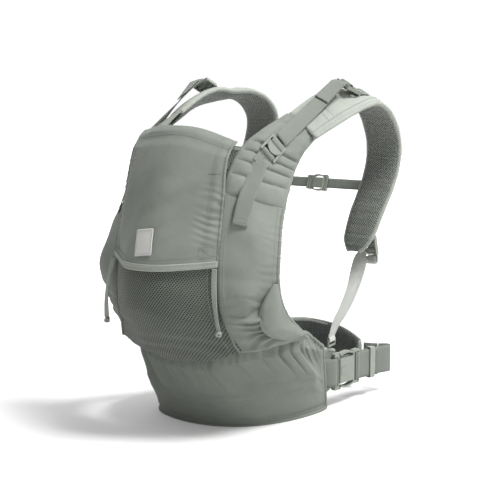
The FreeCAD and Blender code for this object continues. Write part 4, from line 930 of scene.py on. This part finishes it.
LOCKS = {
    "panel_lock": Place((131, -181, 396), (0.11, 0.8, 0.59), (0.9, -0.36, 0.24)),
    "top_lock": Place((157.6, 27.4, 495), (-0.12, -0.93, 0.34), (0.46, 0.3, 0.84)),
    "end_lock": Place((133.6, 122.3, 231.4), (0.1, 0.1, -0.99), (0.25, 0.97, 0.1)),
}
TABS = {"panel_lock": (24, 0), "top_lock": (26, 15), "end_lock": (18, 21)}
WIDE, UPRIGHT = 25, (0, 0, 1)
ROLL = [(30, -5.0), (25.8, -2), (25.8, 2.6), (24, 6.2), (19.6, 6.2), (17.6, 2.4), (16.4, -1.4), (14.6, -4.2)]


def make_lock_webbing(side):
    word = WORDS[side]
    for name, (length, lift) in TABS.items():
        place, turn = LOCKS[name], math.radians(-lift)
        level, steep = math.cos(turn), math.sin(turn)
        rows = [(-length - 2.35, -3.15), (-10, -3.15), (-4, -3.15), (0, -3.2), (3.7, -2.2), (3.7, 2.2),
                (0, 3.6), (-3.6, 2.0), (-4.6, -1.2), (-10, -1.55), (-length - 2.0, -1.55)]
        points = [place.point((0, y * level - z * steep, y * steep + z * level)) for y, z in rows]
        cloth = webbing(f"{name}_tab_{word}", points, place.axes[0], WIDE, 1.5, side=side, samples=90,
                        replaces=[f"lock_tabs_{word}"] if name == "panel_lock" else [])
        box = sewn_box(cloth, 0.86, 0.98, 0.18, 0.82, 70, THREAD_LIFT)
        stitches(f"{name}_tab_stitches_{word}", [box], side=side)
        webbing(f"{name}_roll_{word}", [place.point((0, y, z)) for y, z in ROLL], place.axes[0], WIDE, 1.5,
                f"{name}_{word}", side, samples=50)


def make_lifters(side):
    word = WORDS[side]
    low, high = LOCKS["panel_lock"], LOCKS["top_lock"]
    start, end = low.point((0, 34, 3.4)), high.point((0, 36, 1.5))

    def twisted(shares, lift):
        line, sides = [], []
        for f in shares:
            across = unit(low.axes[0] * (1 - f) - high.axes[0] * f)
            raised = unit(np.cross(across, end - start)) * lift
            line.append(start * (1 - f) + end * f + raised * (1 if raised[2] > 0 else -1))
            sides.append(across)
        return line, sides

    webbing(f"lifter_span_{word}", *twisted((0, 0.25, 0.5, 0.75, 1), 1.2), WIDE, 1.6, side=side,
            replaces=[f"lifter_webbing_{word}"])
    webbing(f"lifter_upper_tail_{word}", *twisted((0.66, 0.76, 0.86, 0.96), 4.4), WIDE, 1.6, side=side)
    cloth = webbing(f"lifter_tail_{word}", LIFTER_TAIL[side], (0.66, 0.75, 0.05), WIDE, 1.6, side=side)
    stitches(f"lifter_tail_stitches_{word}", seams_across(cloth, (0.93, 0.97), 20, 0.08, 0.92), side=side)


LOWER_LINE = [(124, 113, 199), (121, 106, 172), (117.5, 94.5, 138), (111, 77, 104)]
LOWER_SIDE = [(1, 0.1, 0), (0.75, 0.65, 0), (0.35, 0.93, 0), (0.2, 0.98, 0), (0, 1, 0), (-0.19, 0.98, 0)]
BELT_LOOPS = {1: (101.5, 52, 47.5), -1: (101.5, 52, 66.5)}
LIFTER_TAIL = {
    1: [(129.5, -199, 383), (130, -210, 366), (131, -229, 344), (131, -243, 320), (131, -254, 289)],
    -1: [(129.5, -199, 383), (129, -208, 366), (128, -223, 344), (128, -234.5, 320), (129, -251, 289)],
}


def make_lower_webbing(side):
    word = WORDS[side]
    loop, end = np.array(BELT_LOOPS[side]), LOCKS["end_lock"]
    # The lower straps take the lighter webbing: partly their own colour, partly painted light.
    pale_and_lit = {"side": side, "material": WEBBING_PALE_AND_LIT}
    points = [end.point((0, 22, 0.5)), end.point((0, 29, -1.5)), *LOWER_LINE, loop + (2.5, 5, 30),
              loop + (0, 0, 9.6)]
    sides = [-end.axes[0], -end.axes[0], *LOWER_SIDE]
    webbing(f"lower_strap_{word}", points, sides, WIDE, 1.6, replaces=[f"lower_webbing_{word}"], samples=120,
            **pale_and_lit)
    beside = unit(np.array([-0.19, 0.98, 0]))
    out = np.cross(beside, UPRIGHT)
    wrap = [(0, 14), (1.6, 9), (2.3, 6.2), (2.2, 2.4), (0, 1.9), (-2.2, 2.4), (-2.3, 6.2), (-1.6, 9),
            (0.2, 16)]
    around = [loop + out * a + np.array([0, 0, b]) for a, b in wrap]
    webbing(f"lower_strap_wrap_{word}", around, beside, WIDE, 1.2, samples=50, **pale_and_lit)
    rolled = [(20, 2.4), (29, 4.2), (38, 4.0), (46, 2.0), (48.5, -1.0), (46, -4.0), (39, -3.6), (34, -2.4)]
    around = [end.point((0, y, z)) for y, z in rolled]
    webbing(f"lower_tail_roll_{word}", around, end.axes[0], WIDE, 1.3, samples=60, **pale_and_lit)


WAIST = Place((120.5, 44, 0), axes=((0.03, 1, 0), (0, 0, 1), (1, -0.03, 0)))
ANCHOR_BAR, LADDER_END = -14, 63
KEEPER = Place((128.3, 141, 0), axes=((0.19, 0.98, 0), (0, 0, 1), (1, -0.19, 0)))


def make_waist_webbing():
    def round_bars(path):
        return [WAIST.point((along, 0, out)) for along, out in path]

    bar, end = ANCHOR_BAR, LADDER_END
    wrap = round_bars([(bar - 20, -5.4), (bar - 6, 6.2), (bar + 7.2, 6.2), (bar + 7.2, -6.2), (bar - 7, -6.2),
                       (bar - 20, -7.7)])
    webbing("waist_anchor_webbing", wrap, UPRIGHT, 50, 2, replaces=["waist_anchor"], samples=90)
    inner = round_bars([(end + 1.5, -2.4)]) + [(124, 132, 0), (130, 160, 0), (138, 182, 0), (140, 194, 0),
                                               (132, 196.5, 0), (124, 191.5, 0), (117.5, 186.2, 0)]
    webbing("waist_loop_inner", inner, UPRIGHT, 50, 2, MALE, replaces=["waist_webbing_loop"], samples=120)
    outer = round_bars([(end + 1.5, 2.4)]) + [(128.6, 131, 0), (134.4, 157, 0)]
    tail = webbing("waist_loop_tail", outer, UPRIGHT, 50, 2, MALE)
    stitches("waist_tail_stitches", seams_across(tail, (0.92, 0.97), 30, 0.06, 0.94), MALE)
    hoop = round_bars([(end + 1.5, 2.4), (end - 3, 5.4), (end - 8, 5.4), (end - 9.6, 0), (end - 8, -5.4),
                       (end - 3, -5.4), (end + 1.5, -2.4)])
    webbing("waist_ladder_wrap", hoop, UPRIGHT, 49, 1.6, MALE)
    back = [(116.4, 185.4, 0), (110, 181.4, 0), (101, 178.4, 0), (91.5, 177, 0)]
    webbing("waist_return", back, UPRIGHT, 50, 2, replaces=["waist_webbing"])
    corners = [(0, 5.4), (15, 5.4), (26, 5.4), (28.2, 5.0), (28.2, -5.0), (26, -5.4), (0, -5.4), (-26, -5.4),
               (-28.2, -5.0), (-28.2, 5.0), (-26, 5.4), (-15, 5.4), (0, 5.4)]
    around = [KEEPER.point((0, y, z)) for y, z in corners]
    webbing("keeper_band", around, KEEPER.axes[0], 12, 1.4, "webbing_keeper", replaces=["webbing_keeper"],
            material=TAPE, samples=160)


CHEST_PLACE = Place((13, 155.5, 320.5), axes=((-1, 0, 0), (0, 0.29, 0.957), (0, 0.957, -0.29)))
SLIDER_X, CHEST_FRAME_LENGTH, CHEST_LADDER_END, RAIL_BEHIND = 141, 9, 35, 3.2 + 0.5 + 0.75


def make_chest():
    up, outward = CHEST_PLACE.axes[1:]
    level = CHEST_PLACE.origin * (0, 1, 1)
    for word, along, x, body in (("right", -CHEST_FRAME_LENGTH - 0.6, SLIDER_X, CHEST),
                                 ("left", CHEST_LADDER_END + 0.6, -SLIDER_X, CHEST_MALE)):
        start, end = CHEST_PLACE.point((along, 0, 0)), level + (x, 0, 0)
        points = [start * (1 - f) + end * f for f in (0, 0.25, 0.5, 0.75, 1)]
        cloth = webbing(f"chest_strap_{word}", points, up, 18, 1.5, body, replaces=[f"chest_webbing_{word}"],
                        samples=70)
        stitches(f"chest_strap_{word}_stitches", seams_across(cloth, (0.12, 0.15), 14, 0.1, 0.9), body)
    anchor = level + (SLIDER_X, 0, 0) - outward * RAIL_BEHIND
    rail = [(-56, 6.4), (-46, 1.6), (-38, 0), (0, 0), (38, 0), (46, 1.6), (56, 6.4)]
    points = [anchor + up * along - outward * back for along, back in rail]
    for side, word in WORDS.items():
        webbing(f"chest_rail_tape_{word}", points, (1, 0, 0), 10, 1.5, side=side,
                replaces=[f"chest_rail_{word}"], material=TAPE, samples=90)


# ---- draw tapes

CORDS = {
    "right": [(0.105, -0.285, 0.222), (0.106, -0.288, 0.2), (0.108, -0.2895, 0.172), (0.11, -0.288, 0.146),
              (0.112, -0.284, 0.124)],
    "left": [(-0.106, -0.286, 0.222), (-0.109, -0.292, 0.2), (-0.112, -0.297, 0.173), (-0.113, -0.299, 0.146),
             (-0.1125, -0.298, 0.123)],
}
CORD_WIDTH = 0.009


def route(points):
    """Points read from the route's own smooth spline."""
    data = bpy.data.curves.new("route", "CURVE")
    data.dimensions, data.resolution_u = "3D", 16
    spline = data.splines.new("NURBS")
    spline.points.add(len(points) - 1)
    for place, point in zip(spline.points, points):
        place.co = (*point, 1)
    spline.order_u = 3
    spline.use_endpoint_u = True
    holder = add_object("route", data)
    bpy.context.view_layer.update()
    mesh = bpy.data.meshes.new_from_object(holder)
    path = [tuple(vertex.co) for vertex in mesh.vertices]
    bpy.data.objects.remove(holder)
    bpy.data.meshes.remove(mesh)
    return path


def make_cords():
    for word, points in CORDS.items():
        path = route(points)
        twist = 0.3 * np.sin(np.linspace(0, 1, len(path)) * 5.0 + (0.4 if word == "right" else 2.0))
        sides = np.stack([np.cos(twist), np.sin(twist), np.zeros(len(path))], axis=1)
        cloth = strip(path, sides, CORD_WIDTH, 0.0015)
        tape = cloth.make(f"draw_tape_{word}", FLAP, "tape", TAPE, [f"drawcord_{word}"], rim=0.25)
        knot = make_knot(word, np.array(points[-1]))


def make_knot(word, end):
    """A tied overhand knot: the tape turns round itself and leaves a short tail."""
    centre = end - (0, 0, 0.0048)
    turns = np.linspace(0, 2 * np.pi * 1.35, 40)
    line = centre + np.stack([0.0031 * np.cos(turns), 0.0036 * np.sin(turns),
                              0.0026 * np.sin(turns * 1.5) + 0.0003 * np.cos(turns)], axis=1)
    first = tube(f"draw_knot_{word}", line, 0.0017, FLAP, TAPE, segments=12,
                 replaces=[f"drawcord_knot_{word}"])
    line = centre + np.stack([0.0026 * np.sin(turns * 0.9), 0.0024 * np.cos(turns),
                              0.003 * np.cos(turns * 1.2)], axis=1)
    return [first, tube(f"draw_knot_turn_{word}", line, 0.0015, FLAP, TAPE, segments=12)]


# ---- moulded parts

def paint_nodes():
    hard = ["waist_female", "waist_male", "waist_arm_upper", "waist_arm_lower", "waist_button",
            "chest_female", "chest_male", "chest_arm_upper", "chest_arm_lower"]
    hard += [f"{name}_{word}" for name in (*LOCKS, "chest_slider", "belt_loop") for word in WORDS.values()]
    for name in hard:
        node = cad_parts[name]
        if not node.material_slots:
            node.data.materials.append(PLASTIC)
        for place in node.material_slots:
            place.material = PLASTIC


def main():
    make_camera()
    make_cords()
    make_stage()
    make_panel()
    make_flap()
    make_label()
    for side in WORDS:
        for make in (make_wing, make_leg_pad, make_yoke, make_strap, make_lock_webbing, make_lifters,
                     make_lower_webbing):
            make(side)
    make_belt()
    make_skirt()
    make_waist_webbing()
    make_chest()
    paint_nodes()


main()
